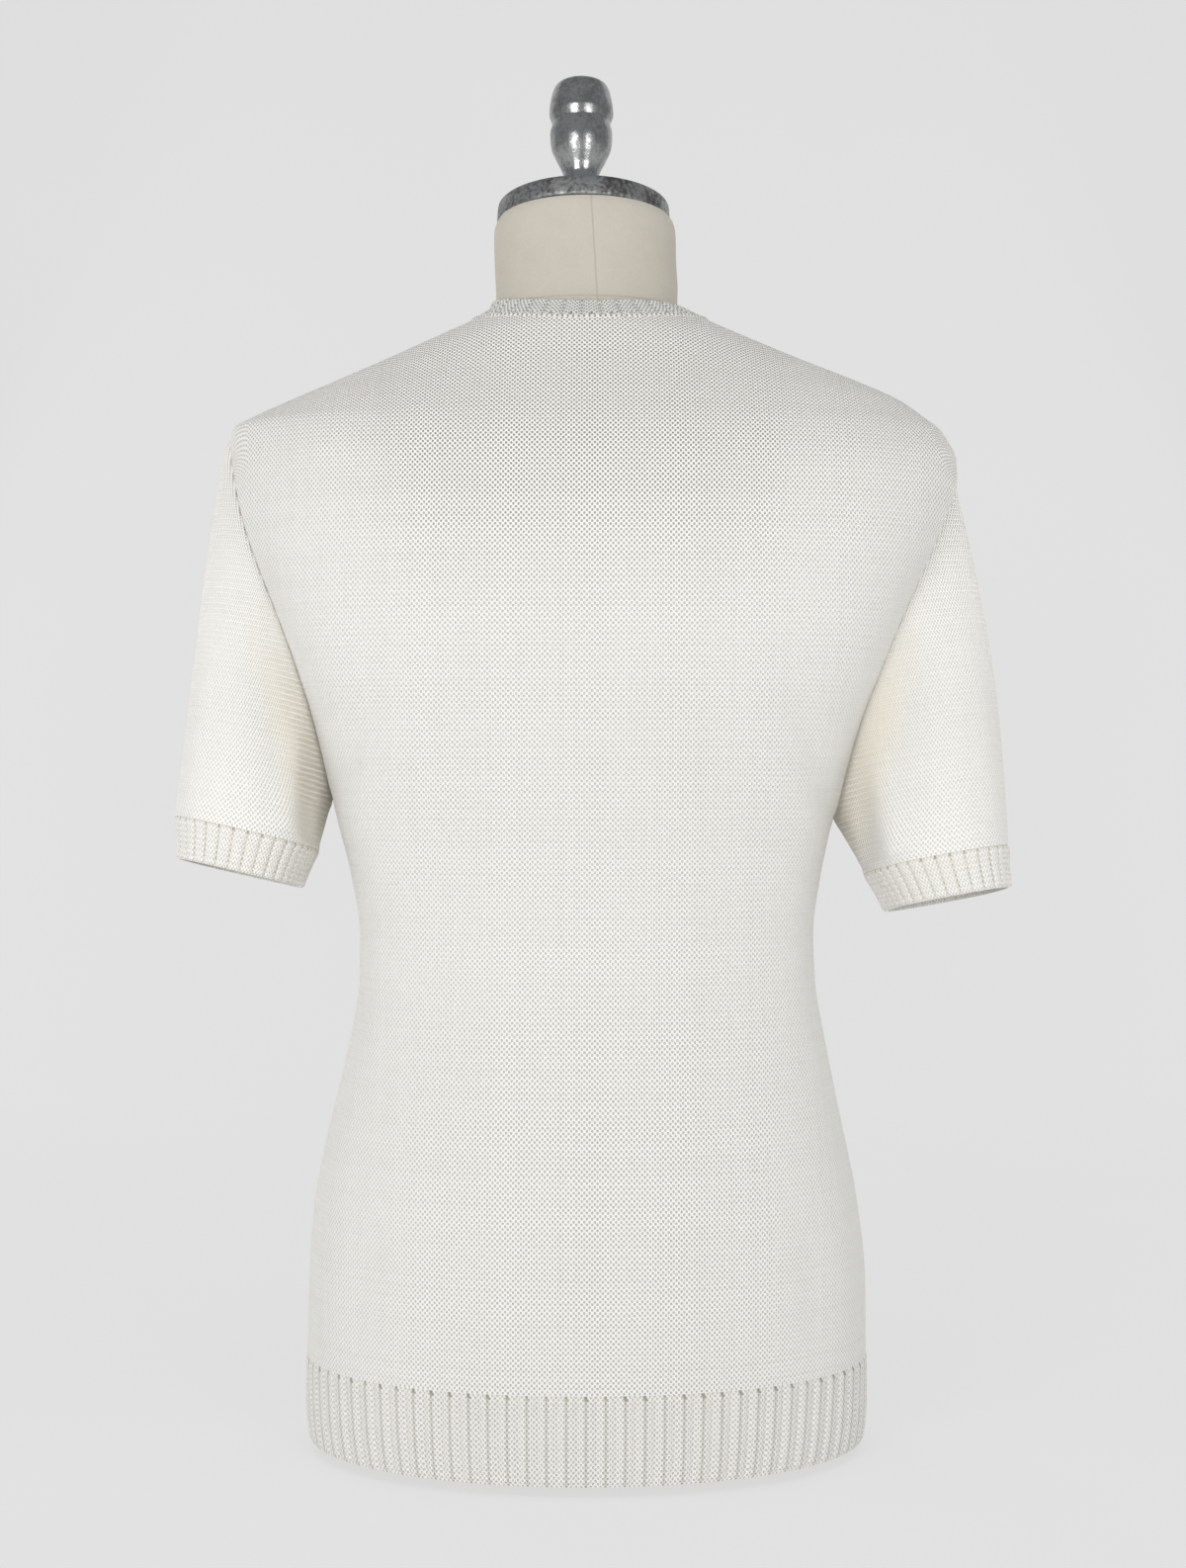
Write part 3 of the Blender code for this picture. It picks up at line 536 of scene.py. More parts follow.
def armhole_loop(side):
    """Edge places round an armhole: from the tip down the back to the underarm and up the front."""
    at = np.arange(ARMHOLE_ROWS * FINER + 1) / FINER
    start, turning = (0.0, 1) if side == "left" else (np.pi, -1)
    back, back_height = armhole_edge(side, "back", at)
    front, front_height = armhole_edge(side, "front", at)
    angles = np.concatenate([(start + turning * back)[:0:-1], (-start - turning * front)[:-1]])
    return angles, np.concatenate([back_height[:0:-1], front_height[:-1]])


def section_depth(x, sizes, face):
    """How far a section of the body reaches backward or forward at an x, kept off its steep ends."""
    across, along = reaches(x, SIGN[face], sizes)
    share = np.minimum(np.abs(x) / across, STEEPEST_SHARE)
    return along * (1 - share ** sizes[4]) ** (1 / sizes[4])


def table_cell(value, stations):
    """The evenly spaced station below each value, and the share of the way to the next one."""
    at = (value - stations[0]) / (stations[1] - stations[0])
    at = np.clip(at, 0, len(stations) - LAST_CELL_INSET)
    return at.astype(int), at - at.astype(int)


def stitch_rows(x, y, height, face):
    """Length of cloth from the welt line up to a place, along a line that stays at one x."""
    lines, samples = COURSE_TABLE_SIZE
    xs = np.linspace(-COURSE_TABLE_REACH, COURSE_TABLE_REACH, lines)
    zs = np.linspace(WELT_LINE, BODY_SECTIONS[-1][0], samples)
    depth = section_depth(xs[:, None], [size[None, :] for size in body_sizes(zs)], face)
    turning_over = np.where(zs[None, 1:] > TURNS_OVER_ABOVE, np.minimum(np.diff(depth), 0), 0)
    run = np.hypot(np.diff(zs)[None, :], turning_over)
    length = np.concatenate([np.zeros((lines, 1)), np.cumsum(run, axis=1)], axis=1)
    length = np.pad(length, ((COURSE_BLUR, COURSE_BLUR), (0, 0)), mode="edge")
    window = 2 * COURSE_BLUR + 1
    length = sum(length[k : k + lines] for k in range(window)) / window
    (a, f), (b, g) = table_cell(x, xs), table_cell(height, zs)
    low = length[a, b] * (1 - f) + length[a + 1, b] * f
    high = length[a, b + 1] * (1 - f) + length[a + 1, b + 1] * f
    short_of_top = np.maximum(section_depth(x, body_sizes(height), face) - np.abs(y), 0)
    return low * (1 - g) + high * g + short_of_top * smooth_step(*SHOULDER_TOP, height)


def panel_uv(points, face):
    """Stitches from the panel's centre line and from the welt line."""
    reached = lengths_along(points)
    x, y, z = points[..., 0], points[..., 1], points[..., 2]
    centre = np.array([np.interp(0, row_x[::-1], row_s[::-1]) for row_x, row_s in zip(x, reached)])
    low = centre[:, None] - reached
    high = x + SHOULDER_STRETCH * x**3
    above = smooth_step(*ARM_LEVEL, z)
    across = low * (1 - above) + high * above
    return np.stack([across / WALE, stitch_rows(x, y, z, face) / COURSE], axis=-1)


def seam_heights(distance):
    """How far cloth stands off its smooth face at a distance from a seam."""
    sink = SEAM_SINK * np.clip(1 - distance / SEAM_SINK_WIDTH, 0, 1) ** 2
    return soft_ridge(distance, *SEAM_RIDGE) - sink


def make_panel(face, joints, material):
    sign = SIGN[face]
    angle, height = panel_places(face)
    smooth = body_point(angle, height)
    normals = body_normal(angle, height)
    uv = panel_uv(smooth, face)

    from_left = lengths_along(smooth)
    to_edge = np.minimum(from_left, from_left[:, -1:] - from_left)
    fade = smooth_step(0, BODY_FOLD_MARGIN, to_edge)
    fade *= smooth_step(0, BODY_FOLD_MARGIN, height - WELT_LINE)
    x, z = smooth[..., 0], smooth[..., 2]
    lift = fold_heights(BODY_FOLDS[face], x, z, BODY_FOLD_FADES) * fade
    outside = smooth + normals * (lift + seam_heights(to_edge))[..., None]
    inside = smooth + normals * (lift - WALL)[..., None]

    apart = np.array((0.0, sign * HALF_GAP, 0.0))
    for grid in (outside, inside):
        grid[:, (0, -1)] += apart
    rows = np.arange(ARMHOLE_ROWS * FINER + 1)
    down = rows[-1] - rows
    place = sign * down % (2 * rows[-1])
    at_end = np.isin(rows, rows[[0, -1]])[:, None] * apart
    for side, column in (("left", 0), ("right", -1)):
        point, inward, away = (values[place] for values in joints[side])
        row = SIDE_ROWS * FINER + rows
        sunk = inward / WALL * SEAM_SINK
        outside[row, column] = point + sunk - HALF_GAP * away + at_end
        inside[row, column] = point + inward - HALF_GAP * away + at_end

    along = np.gradient(outside[-1], axis=0)
    upward = unit(np.cross(normals[-1], along)) * sign
    for grid in (outside, inside):
        grid[-1] -= HALF_GAP * upward
        grid[0, :, 2] = WELT_LINE + HALF_GAP
    return shell_object("knit_" + face, outside, inside, uv, False, material, SHEET_SHARP_FROM)


# --- Hem, cuffs and neckband ---


def rib_profile(share):
    """Stand-off of a ribbed face for a share of the rib's pitch, the groove at 0."""
    to_groove = np.minimum(share, 1 - share)
    lift = smooth_step(RIB_GROOVE_FLOOR, RIB_GROOVE_HALF, to_groove)
    rounding = RIB_ROUNDING * np.cos(2 * np.pi * (share - 0.5))
    return RIB_GROOVE + (RIB_CREST - RIB_GROOVE) * lift + rounding * lift


def band_levels(lines, low_sink, high_sink):
    """Levels across a band, how strong its ribs are there, and how far its face sinks at the edges."""
    levels = np.concatenate([LOW_LEVELS, np.linspace(*INNER_LEVELS, lines), HIGH_LEVELS])
    low = low_sink * (1 - smooth_step(LOW_LEVELS[0], LOW_LEVELS[-1], levels))
    high = high_sink * smooth_step(HIGH_LEVELS[0], HIGH_LEVELS[-1], levels)
    return levels, between(*RIBS_FADE, levels, RIBS_LOST), low + high


def spread_evenly(samples, points):
    """The sample value at equal lengths along a line of points, as a function of the share."""
    lengths = lengths_along(points)
    return lambda share: np.interp(share * lengths[-1], lengths, samples)


def band_uv(ribs, levels, height):
    """Stitches round a closed ribbed band and up it."""
    u = np.arange(ribs * RIB_STEPS + 1)[None, :] / RIB_STEPS * RIB_WALES + 0 * levels[:, None]
    v = levels[:, None] * height / COURSE + 0 * u
    return np.stack([u, v], axis=-1)


def make_hem(face, material):
    sign, ribs = SIGN[face], HEM_RIBS[face]
    spread = np.linspace(0, sign * np.pi, SPREAD_SAMPLES + 1)
    angle_at = spread_evenly(spread, body_point(spread, (HEM_HEIGHT + WELT_LINE) / 2))
    share = np.arange(ribs * RIB_STEPS + 1) / RIB_STEPS
    levels, relief, sink = band_levels(HEM_LINES, *HEM_EDGE_SINKS)
    top = WELT_LINE - HALF_GAP
    height = (HEM_HEIGHT + (top - HEM_HEIGHT) * levels)[:, None]
    angle = angle_at(share / ribs)[None, :]
    flat = unit(body_normal(angle, height) * (1, 1, 0))
    flat[:, 0], flat[:, -1] = (1, 0, 0), (-1, 0, 0)
    stand_off = rib_profile(share % 1)[None, :] * relief[:, None] - sink[:, None]
    face_points = body_point(angle, height + 0 * angle)
    outside = face_points + flat * stand_off[..., None]
    inside = face_points - flat * WALL
    for grid in (outside, inside):
        grid[:, (0, -1), 1] = sign * HALF_GAP
    u = (share - ribs / 2)[None, :] * RIB_WALES + 0 * height
    v = (height - WELT_LINE) / COURSE + 0 * u
    return shell_object("knit_hem_" + face, outside, inside, np.stack([u, v], axis=-1), False, material)


def cuff_axes(side):
    """Ways outward, backward and up, square to the last, in a cuff's own slope."""
    rise_outward, rise_backward = CUFFS[side][2:]
    across = unit(np.array((OUTWARD[side], 0.0, rise_outward)))
    back = unit(np.array((0.0, 1.0, rise_backward)))
    return across, back, unit(np.cross(across, back) * OUTWARD[side])


def cuff_point(side, level, turn, stand_off=0.0):
    """A place on the cuff's rib: level 0 is its top line and 1 its bottom edge, turn 0 the outer side."""
    top, bottom = np.array(CUFFS[side][:2])
    level, turn = np.broadcast_arrays(np.asarray(level, float), np.asarray(turn, float))
    sizes = top + (bottom - top) * level[..., None]
    across, back, _ = cuff_axes(side)
    waist = CUFF_WAIST * np.sin(np.pi * level)
    c, s = np.cos(turn), np.sin(turn)
    fuller = (np.abs(c) ** CUFF_SQUARENESS + np.abs(s) ** CUFF_SQUARENESS) ** (-1 / CUFF_SQUARENESS)
    width = (sizes[..., 3] * fuller + stand_off - waist) * c
    depth = (sizes[..., 4] * fuller + stand_off - waist) * s
    return sizes[..., :3] + across * width[..., None] + back * depth[..., None]


def make_cuff(side, material):
    spread = np.linspace(-np.pi, np.pi, SPREAD_SAMPLES + 1)
    turn_at = spread_evenly(spread, cuff_point(side, 0.5, spread))
    share = np.arange(CUFF_RIBS * RIB_STEPS) / RIB_STEPS
    levels, relief, sink = band_levels(CUFF_LINES, *CUFF_EDGE_SINKS)
    turn = turn_at(share / CUFF_RIBS)[None, :] + 0 * levels[:, None]
    stand_off = rib_profile(share % 1)[None, :] * relief[:, None] - sink[:, None]
    level = levels[:, None] + 0 * turn
    outside = cuff_point(side, level, turn, stand_off)
    inside = cuff_point(side, level, turn, -WALL)
    for grid in (outside, inside):
        grid[0] -= HALF_GAP * cuff_axes(side)[2]
    top, bottom = np.array(CUFFS[side][:2])
    width = np.linalg.norm(top[:3] - bottom[:3])
    uv = band_uv(CUFF_RIBS, levels, -width)
    return shell_object("knit_cuff_" + side, outside, inside, uv, True, material)


def up_the_neck(start, width):
    """The place on the body's face this far up from a neckline place, towards the neck's middle."""
    low, high = np.zeros(len(start)), np.ones(len(start))
    for _ in range(SEARCH_STEPS):
        shrink = (low + high) / 2
        x, y = start[:, 0] * (1 - shrink), start[:, 1] * (1 - shrink)
        place = np.stack([x, y, height_over(x, y)], axis=1)
        short = np.linalg.norm(place - start, axis=1) < width
        low, high = np.where(short, shrink, low), np.where(short, high, shrink)
    return place


def make_neckband(material):
    """The ribbed crew band, whose lowest lines are the smooth linking ridge of the neckline."""
    turns = np.pi * np.arange(SPREAD_SAMPLES) / SPREAD_SAMPLES
    parts = [neck_place(turns, "back"), neck_place(np.pi - turns, "front")]
    angles, heights = (np.concatenate(values) for values in zip(*parts))
    line = body_point(angles, heights)
    closed = np.vstack([line, line[:1]])
    numbers = np.arange(len(closed))
    share = np.arange(BAND_RIBS * RIB_STEPS) / RIB_STEPS
    at = spread_evenly(numbers, closed)(share / BAND_RIBS)

    def evenly(values):
        return np.stack([np.interp(at, numbers, np.append(axis, axis[0])) for axis in values.T], axis=1)

    start = evenly(line)
    normal = unit(evenly(body_normal(angles, heights)))
    up = unit(np.cross(normal, np.roll(start, -1, axis=0) - np.roll(start, 1, axis=0)))
    levels = np.array(BAND_LEVELS)
    relief = between(*BAND_RIBS_FADE, levels, BAND_RIBS_LOST)
    dip = soft_ridge(levels, *BAND_DIP) + BAND_FOOT_DROP * (levels == 0)
    edge = BAND_EDGE_SINK * smooth_step(*BAND_EDGE, levels)
    outside, inside = [], []
    for level, strength, lift in zip(levels, relief, soft_ridge(levels, *BAND_RIDGE) - dip - edge):
        place, away = start + up * HALF_GAP, normal
        if level > 0:
            place = up_the_neck(start, BAND_WIDTH * level)
            away = body_normal(angle_of(*place.T), place[:, 2])
        stand_off = rib_profile(share % 1) * strength + lift
        outside.append(place + away * stand_off[:, None])
        inside.append(place - away * WALL)
    uv = band_uv(BAND_RIBS, levels, BAND_WIDTH)
    return shell_object("knit_neckband", np.array(outside), np.array(inside), uv, True, material)


# --- Sleeves ---


def sleeve_outside(side):
    """Rings of the sleeve's outer face from the armhole seam to the cuff's top line."""
    angles, heights = armhole_loop(side)
    edge = body_point(angles, heights)
    turn = np.pi * np.arange(len(edge)) / (ARMHOLE_ROWS * FINER)
    end = cuff_point(side, 0.0, turn)
    outward = unit(end - cuff_point(side, 0.0, turn, -WALL))
    inner = shares(SLEEVE_RINGS * FINER)[1:-1]
    along = np.concatenate([SLEEVE_FIRST_LINES, inner, SLEEVE_LAST_LINES])
    bend = math.log(0.5) / math.log(SLEEVE_FULLEST[side])
    swell = SLEEVE_SWELL[side] * np.sin(np.pi * along**bend)
    fullness = swell[:, None] * (SWELL_MEAN + SWELL_SWING * np.cos(turn))[None, :]
    rings = edge + (end - edge) * along[:, None, None] + outward * fullness[..., None]
    return rings, along, turn


def loop_normals(rings, side):
    round_it = np.roll(rings, -1, axis=1) - np.roll(rings, 1, axis=1)
    return unit(np.cross(np.gradient(rings, axis=0), round_it)) * OUTWARD[side]


def armhole_joint(side):
    """Round an armhole: outer points, steps to the inner points and ways apart, for panel and sleeve."""
    angles, heights = armhole_loop(side)
    rings, _, _ = sleeve_outside(side)
    body, sleeve = body_normal(angles, heights), loop_normals(rings, side)[0]
    seam = unit(np.roll(rings[0], -1, axis=0) - np.roll(rings[0], 1, axis=0))
    middle = unit(body + sleeve)
    cosine = np.maximum(np.sum(middle * body, axis=1, keepdims=True), MITRE_LEAST_COSINE)
    to_body = unit(np.cross(body, seam)) * OUTWARD[side]
    to_sleeve = unit(np.cross(seam, sleeve)) * OUTWARD[side]
    return rings[0], -middle * WALL / cosine, unit(to_sleeve - to_body)


def make_sleeve(side, joint, material):
    smooth, along, turn = sleeve_outside(side)
    normals = loop_normals(smooth, side)
    round_it = (turn + np.pi) % (2 * np.pi) - np.pi
    lift = fold_heights(SLEEVE_FOLDS, round_it[None, :], along[:, None], SLEEVE_FOLD_FADES)
    lift *= between(*SLEEVE_FOLD_MARGINS, along)[:, None]
    length = np.linalg.norm(smooth[-1] - smooth[0], axis=1)
    seam = seam_heights(along[:, None] * length[None, :])
    outside = smooth + normals * (lift + seam)[..., None]
    inside = smooth + normals * (lift - WALL)[..., None]
    point, inward, away = joint
    outside[0] = point + inward / WALL * SEAM_SINK + HALF_GAP * away
    inside[0] = point + inward + HALF_GAP * away
    up = cuff_axes(side)[2]
    outside[-1] = cuff_point(side, 0.0, turn, -SEAM_SINK / 2) + HALF_GAP * up
    inside[-1] = cuff_point(side, 0.0, turn, -WALL) + HALF_GAP * up

    under = len(turn) // 2
    rolled = np.roll(smooth, under, axis=1)
    closed = np.concatenate([rolled, rolled[:, :1]], axis=1)
    reached = lengths_along(closed)
    u = (reached - reached[:, under : under + 1]) / WALE * OUTWARD[side]
    v = (closed - CUFFS[side][0][:3]) @ up / COURSE
    uv = np.stack([u, v], axis=-1)
    outside, inside = np.roll(outside, under, axis=1), np.roll(inside, under, axis=1)
    return shell_object("knit_sleeve_" + side, outside, inside, uv, True, material, SHEET_SHARP_FROM)


# --- Dress form, cap and knob ---


def form_rings():
    """Rings of the form from its foot to the top of its neck."""
    turns = 2 * np.pi * np.arange(FORM_COLUMNS) / FORM_COLUMNS
    foot = FORM_BOTTOM_ROUND * (1 - np.cos(np.linspace(0, np.pi / 2, FOOT_RINGS)))
    heights = np.concatenate([foot, *(np.linspace(*stretch) for stretch in TORSO_RINGS)])
    rings = []
    for height in heights:
        *sides, squareness = body_sizes(height + FORM_LOWER)
        drop = max(1 - height / FORM_BOTTOM_ROUND, 0)
        inset = FORM_INSET + FORM_BOTTOM_ROUND * (1 - math.sqrt(1 - drop * drop))
        sides = [max(size - inset, float(neck(height))) for size, neck in zip(sides, NECK)]
        x, y = section_point(turns, *sides, squareness)
        rings.append(np.stack([x, y, np.full(len(x), height)], axis=1))
    for height in np.linspace(NECK_SECTIONS[0][0], NECK_SECTIONS[-1][0], NECK_RINGS):
        *sides, tilt = (float(curve(height)) for curve in NECK)
        x, y = section_point(turns, *sides, 2.0)
        rings.append(np.stack([x, y, height + tilt * (y - CAP_CENTRE[1])], axis=1))
    rings = np.array(rings)
    beside = np.abs(rings[..., 0] - NECK_SEAM_X - NECK_SEAM_LEAN * (CAP_CENTRE[2] - rings[..., 2]))
    seam = NECK_SEAM_DEPTH * bell(beside, NECK_SEAM_WIDTH) * (rings[..., 2] > NECK_SEAM_FROM)
    rings[..., 1] -= np.sign(rings[..., 1]) * seam
    return rings


def tube_object(name, rings, material, sharp=FORM_SHARP_FROM):
    """A solid from rings of points, closed by flat faces at both ends."""
    rows, columns = rings.shape[:2]
    quads = grid_quads(rows, columns, True)
    faces = (quads[:, :, 0] * columns + quads[:, :, 1] % columns).tolist()
    faces.append(list(range(columns))[::-1])
    faces.append(list(range((rows - 1) * columns, rows * columns)))
    return mesh_object(name, rings.reshape(-1, 3), faces, material, sharp=sharp)


def turned_object(name, profile, place, material, steps, sharp):
    """A solid turned round +Z from a softened profile."""
    radius, height = np.array(profile).T
    at = np.arange((len(profile) - 1) * steps + 1) / steps
    line = np.arange(len(profile))
    radius, height = curve_through(line, radius)(at), curve_through(line, height)(at)
    turns = 2 * np.pi * np.arange(TURNED_SEGMENTS) / TURNED_SEGMENTS
    rings = np.stack([
        radius[:, None] * np.cos(turns), radius[:, None] * np.sin(turns), height[:, None] + 0 * turns
    ], axis=-1)
    obj = tube_object(name, rings, material, sharp)
    obj.matrix_world = place
    return obj


# --- Materials ---


class Shader:
    """Short ways to add nodes to a material."""

    def __init__(self, name):
        self.material = bpy.data.materials.new(name)
        self.material.use_nodes = True
        self.tree = self.material.node_tree

    def join(self, value, socket):
        if isinstance(value, bpy.types.NodeSocket):
            self.tree.links.new(value, socket)
        else:
            socket.default_value = value

    def fill(self, node, inputs):
        for name, value in inputs.items():
            self.join(value, node.inputs[name.replace("_", " ")])

    def add(self, kind, settings=None, **inputs):
        """A new node with some of its settings and named inputs given."""
        node = self.tree.nodes.new("ShaderNode" + kind)
        for name, value in (settings or {}).items():
            setattr(node, name, value)
        self.fill(node, inputs)
        return node

    def math(self, operation, *values, clamp=False):
        node = self.add("Math", {"operation": operation, "use_clamp": clamp})
        for value, socket in zip(values, node.inputs):
            self.join(value, socket)
        return node.outputs[0]

    def times(self, first, second):
        return self.math("MULTIPLY", first, second)

    def linear(self, value, factor, start, clamp=False):
        return self.math("MULTIPLY_ADD", value, factor, start, clamp=clamp)

    def size(self, value):
        return self.math("ABSOLUTE", value)

    def apart(self, first, second):
        return self.size(self.math("SUBTRACT", first, second))

    def wave(self, value):
        """A cosine with one wave to each whole number."""
        return self.math("COSINE", self.times(value, 2 * math.pi))

    def from_middle(self, value):
        """From 1 at each whole number to 0 half way to the next."""
        return self.size(self.linear(self.math("FRACT", value), 2.0, -1.0))

    def step(self, low, high, value):
        ends = {"From_Min": low, "From_Max": high}
        return self.add("MapRange", {"interpolation_type": "SMOOTHSTEP"}, Value=value, **ends).outputs[0]

    def fall(self, low, high, value):
        """1 below the low value and 0 above the high one."""
        return self.step(-high, -low, self.times(value, -1.0))

    def uv(self):
        where = self.add("UVMap", {"uv_map": "stitches"}).outputs[0]
        return self.add("SeparateXYZ", Vector=where).outputs[:2]

    def place(self):
        return self.add("TexCoord").outputs["Object"]

    def axes(self):
        return self.add("SeparateXYZ", Vector=self.place()).outputs

    def noise(self, where, scale, detail=2.0, rough=0.5):
        inputs = {"Vector": where, "Scale": scale, "Detail": detail, "Roughness": rough}
        return self.add("TexNoise", **inputs).outputs[0]

    def random(self, value):
        return self.add("TexWhiteNoise", {"noise_dimensions": "1D"}, W=value).outputs["Value"]

    def mix(self, share, first, second, blend="MIX"):
        node = self.add("Mix", {"data_type": "RGBA", "blend_type": blend}, Factor=share, A=first, B=second)
        return node.outputs["Result"]

    def bump(self, height, distance):
        return self.add("Bump", Distance=distance, Height=height).outputs[0]

    def finish(self, colour, roughness, **inputs):
        shader = self.tree.nodes["Principled BSDF"]
        self.fill(shader, {"Base_Color": colour, "Roughness": roughness, **inputs})
        return self.material


# Knit finishes: the cream yarn's colour as lit on each piece, with painted light on the sleeves and cuffs
# and painted shade on the hem and neck rib, the colour of the painted shade deep in a stitch, how dark the
# painted shade in the pits and the ribs' grooves is, and the holes along a seam as their row and their
# spacing in stitches
KNITS = {
    # name: (light, dark, pits, grooves, hole row, hole spacing)
    "stocking stitch": ((0.808, 0.798, 0.761, 1), (0.320, 0.305, 0.262, 1), 0.46, 0.0, None, None),
    "sleeve stitch": ((0.895, 0.880, 0.840, 1), (0.500, 0.475, 0.405, 1), 0.95, 0.0, None, None),
    "hem rib": ((0.778, 0.768, 0.732, 1), (0.370, 0.345, 0.285, 1), 0.34, 0.42, -0.45, 4.0),
    "cuff rib": ((0.885, 0.870, 0.820, 1), (0.560, 0.520, 0.420, 1), 0.22, 0.30, -0.25, 4.0),
    "neck rib": ((0.715, 0.715, 0.680, 1), (0.290, 0.285, 0.250, 1), 0.34, 0.20, 1.25, 2.0),
}
KNIT_FINISH = {"roughness": 0.86, "Sheen_Weight": 0.12, "Specular_IOR_Level": 0.25}
# Stitches: noise scales per metre, heights as shares of the stitch's own, and shares of random tone and of
# painted shade
STITCH_HEIGHT = 0.00055
WAVER_SCALE = 60.0
WAVER_COURSES = 0.35
COURSE_STEEPNESS = 1.4
PIT_EDGES = (0.05, 0.95)
PIT_DEPTH = 0.8
LEG_HEIGHT = 0.22
LEG_SLANT = 0.5
ARCH_HEIGHT = 0.35
FIBRE_SCALE = 1400.0
FIBRE_HEIGHT = 0.25
CLOUD = (22.0, 4.0, 0.6)
UNEVEN_WALES, UNEVEN_COURSES, UNEVEN_CLOUD, UNEVEN_FIBRE = 0.04, 0.04, 0.08, 0.14
# Painted shade in the ribs' grooves: the ends of its soft edge
GROOVE_EDGES = (0.70, 0.97)
HOLE_SLANT = 0.55
HOLE_HALF_WIDTH = (0.15, 0.50)
HOLE_HALF_HEIGHT = (0.25, 0.60)
HOLE_FAINTEST = 0.2
# Painted shade in the holes and how far they sink in the bump
HOLE_SHADE = 1.1
HOLE_DEPTH = 1.2

# Where the painted shade in the pits is darker and fainter, in metres, and by how much
SHOULDER_HEIGHTS = (0.48, 0.66)
SHOULDER_DEPTHS = (-0.02, 0.03)
SKIRT_HEIGHTS = (0.20, 0.36)
SIDE_REACH = (0.070, 0.150)
PITS_MIDDLE = 0.70
PITS_SHOULDER = 2.7
PITS_SKIRT = 0.45
PITS_SIDES = -0.50

# Where the sleeves get painted warm shade on the side that faces the body and painted light on the head
ARM_EDGE_X = 0.1815
ARM_EDGE_Z = 0.410
ARM_EDGE_LEAN = 0.24
ARM_EDGE_SOFT = (-0.012, 0.006)
ARM_SHADE_HEIGHTS = (0.44, 0.53)
ARM_PAINTED_SHADE = (1.070, 1.030, 0.950, 1)
SLEEVE_HEAD_HEIGHTS = (0.44, 0.54)
SLEEVE_HEAD_PAINTED_LIGHT = (1.08, 1.08, 1.08, 1)

CANVAS_LIGHT, CANVAS_DARK = (0.560, 0.528, 0.466, 1), (0.440, 0.403, 0.338, 1)
CANVAS_THREAD = 0.0009
CANVAS_CLOUD, CANVAS_FLECK = (30.0, 4.0, 0.6), (700.0,)
SHADE_OF_WEAVE, SHADE_OF_CLOUD, SHADE_OF_FLECK, SHADE_OF_SEAM = 0.08, 0.55, 0.30, 0.9
WEAVE_HEIGHT = 0.5
CANVAS_RELIEF = 0.00015
CANVAS_FINISH = {"roughness": 0.9, "Specular_IOR_Level": 0.2}
UPRIGHT_SEAM_LINE = (0.0002, 0.0007)
LEVEL_SEAM_LINE = (0.0002, 0.0006)

METALS = {
    # name: (light, dark, roughness, mottling)
    "worn cast metal": ((0.33, 0.335, 0.335, 1), (0.10, 0.10, 0.095, 1), 0.42, 1.0),
    "polished metal": ((0.36, 0.365, 0.365, 1), (0.13, 0.13, 0.125, 1), 0.15, 0.6),
}
METAL_CLOUD, METAL_GRAIN = (55.0, 5.0, 0.65), (420.0, 4.0, 0.6)
METAL_SPOTS = (0.42, 0.62)
SPOT_ROUGHNESS = 0.16
GRAIN_HEIGHT = 0.6
METAL_RELIEF = 0.0004
METALNESS = 0.92


def painted_pit_shade_strength(knit, pits):
    """Painted pit shade is darkest on the back of the shoulders, dark on the skirt and faint towards the
    side seams.
    """
    x, y, z = knit.axes()
    shoulder = knit.times(knit.step(*SHOULDER_HEIGHTS, z), knit.step(*SHOULDER_DEPTHS, y))
    strength = knit.linear(shoulder, PITS_SHOULDER, PITS_MIDDLE)
    strength = knit.linear(knit.fall(*SKIRT_HEIGHTS, z), PITS_SKIRT, strength)
    side = knit.linear(knit.step(*SIDE_REACH, knit.size(x)), PITS_SIDES, 1.0)
    return knit.times(knit.times(strength, side), pits)


def sleeve_painted_light_and_shade(knit, colour):
    """Painted warm shade on the sleeve's cloth that faces the body, and painted light on the sleeve's head.
    """
    x, _, z = knit.axes()
    outward = knit.linear(z, -ARM_EDGE_LEAN, knit.size(x))
    start = ARM_EDGE_X - ARM_EDGE_LEAN * ARM_EDGE_Z
    inner = knit.fall(start + ARM_EDGE_SOFT[0], start + ARM_EDGE_SOFT[1], outward)
    inner = knit.times(inner, knit.fall(*ARM_SHADE_HEIGHTS, z))
    # Painted warm shade on the sleeve's side that faces the body
    colour = knit.mix(inner, colour, ARM_PAINTED_SHADE, "MULTIPLY")
    # Painted light on the sleeve's head
    return knit.mix(knit.step(*SLEEVE_HEAD_HEIGHTS, z), colour, SLEEVE_HEAD_PAINTED_LIGHT, "MULTIPLY")


def seam_holes(knit, u, v, row, spacing):
    """A row of small uneven slanted holes beside a seam, as a mask that is painted with shade."""
    slant = knit.linear(knit.math("SUBTRACT", v, row), HOLE_SLANT, u)
    number = knit.math("DIVIDE", slant, spacing)
    nearest = knit.math("ROUND", number)
    beside = knit.fall(*HOLE_HALF_WIDTH, knit.times(knit.apart(number, nearest), spacing))
    hole = knit.times(beside, knit.fall(*HOLE_HALF_HEIGHT, knit.apart(v, row)))
    return knit.times(hole, knit.linear(knit.random(nearest), 1 - HOLE_FAINTEST, HOLE_FAINTEST))


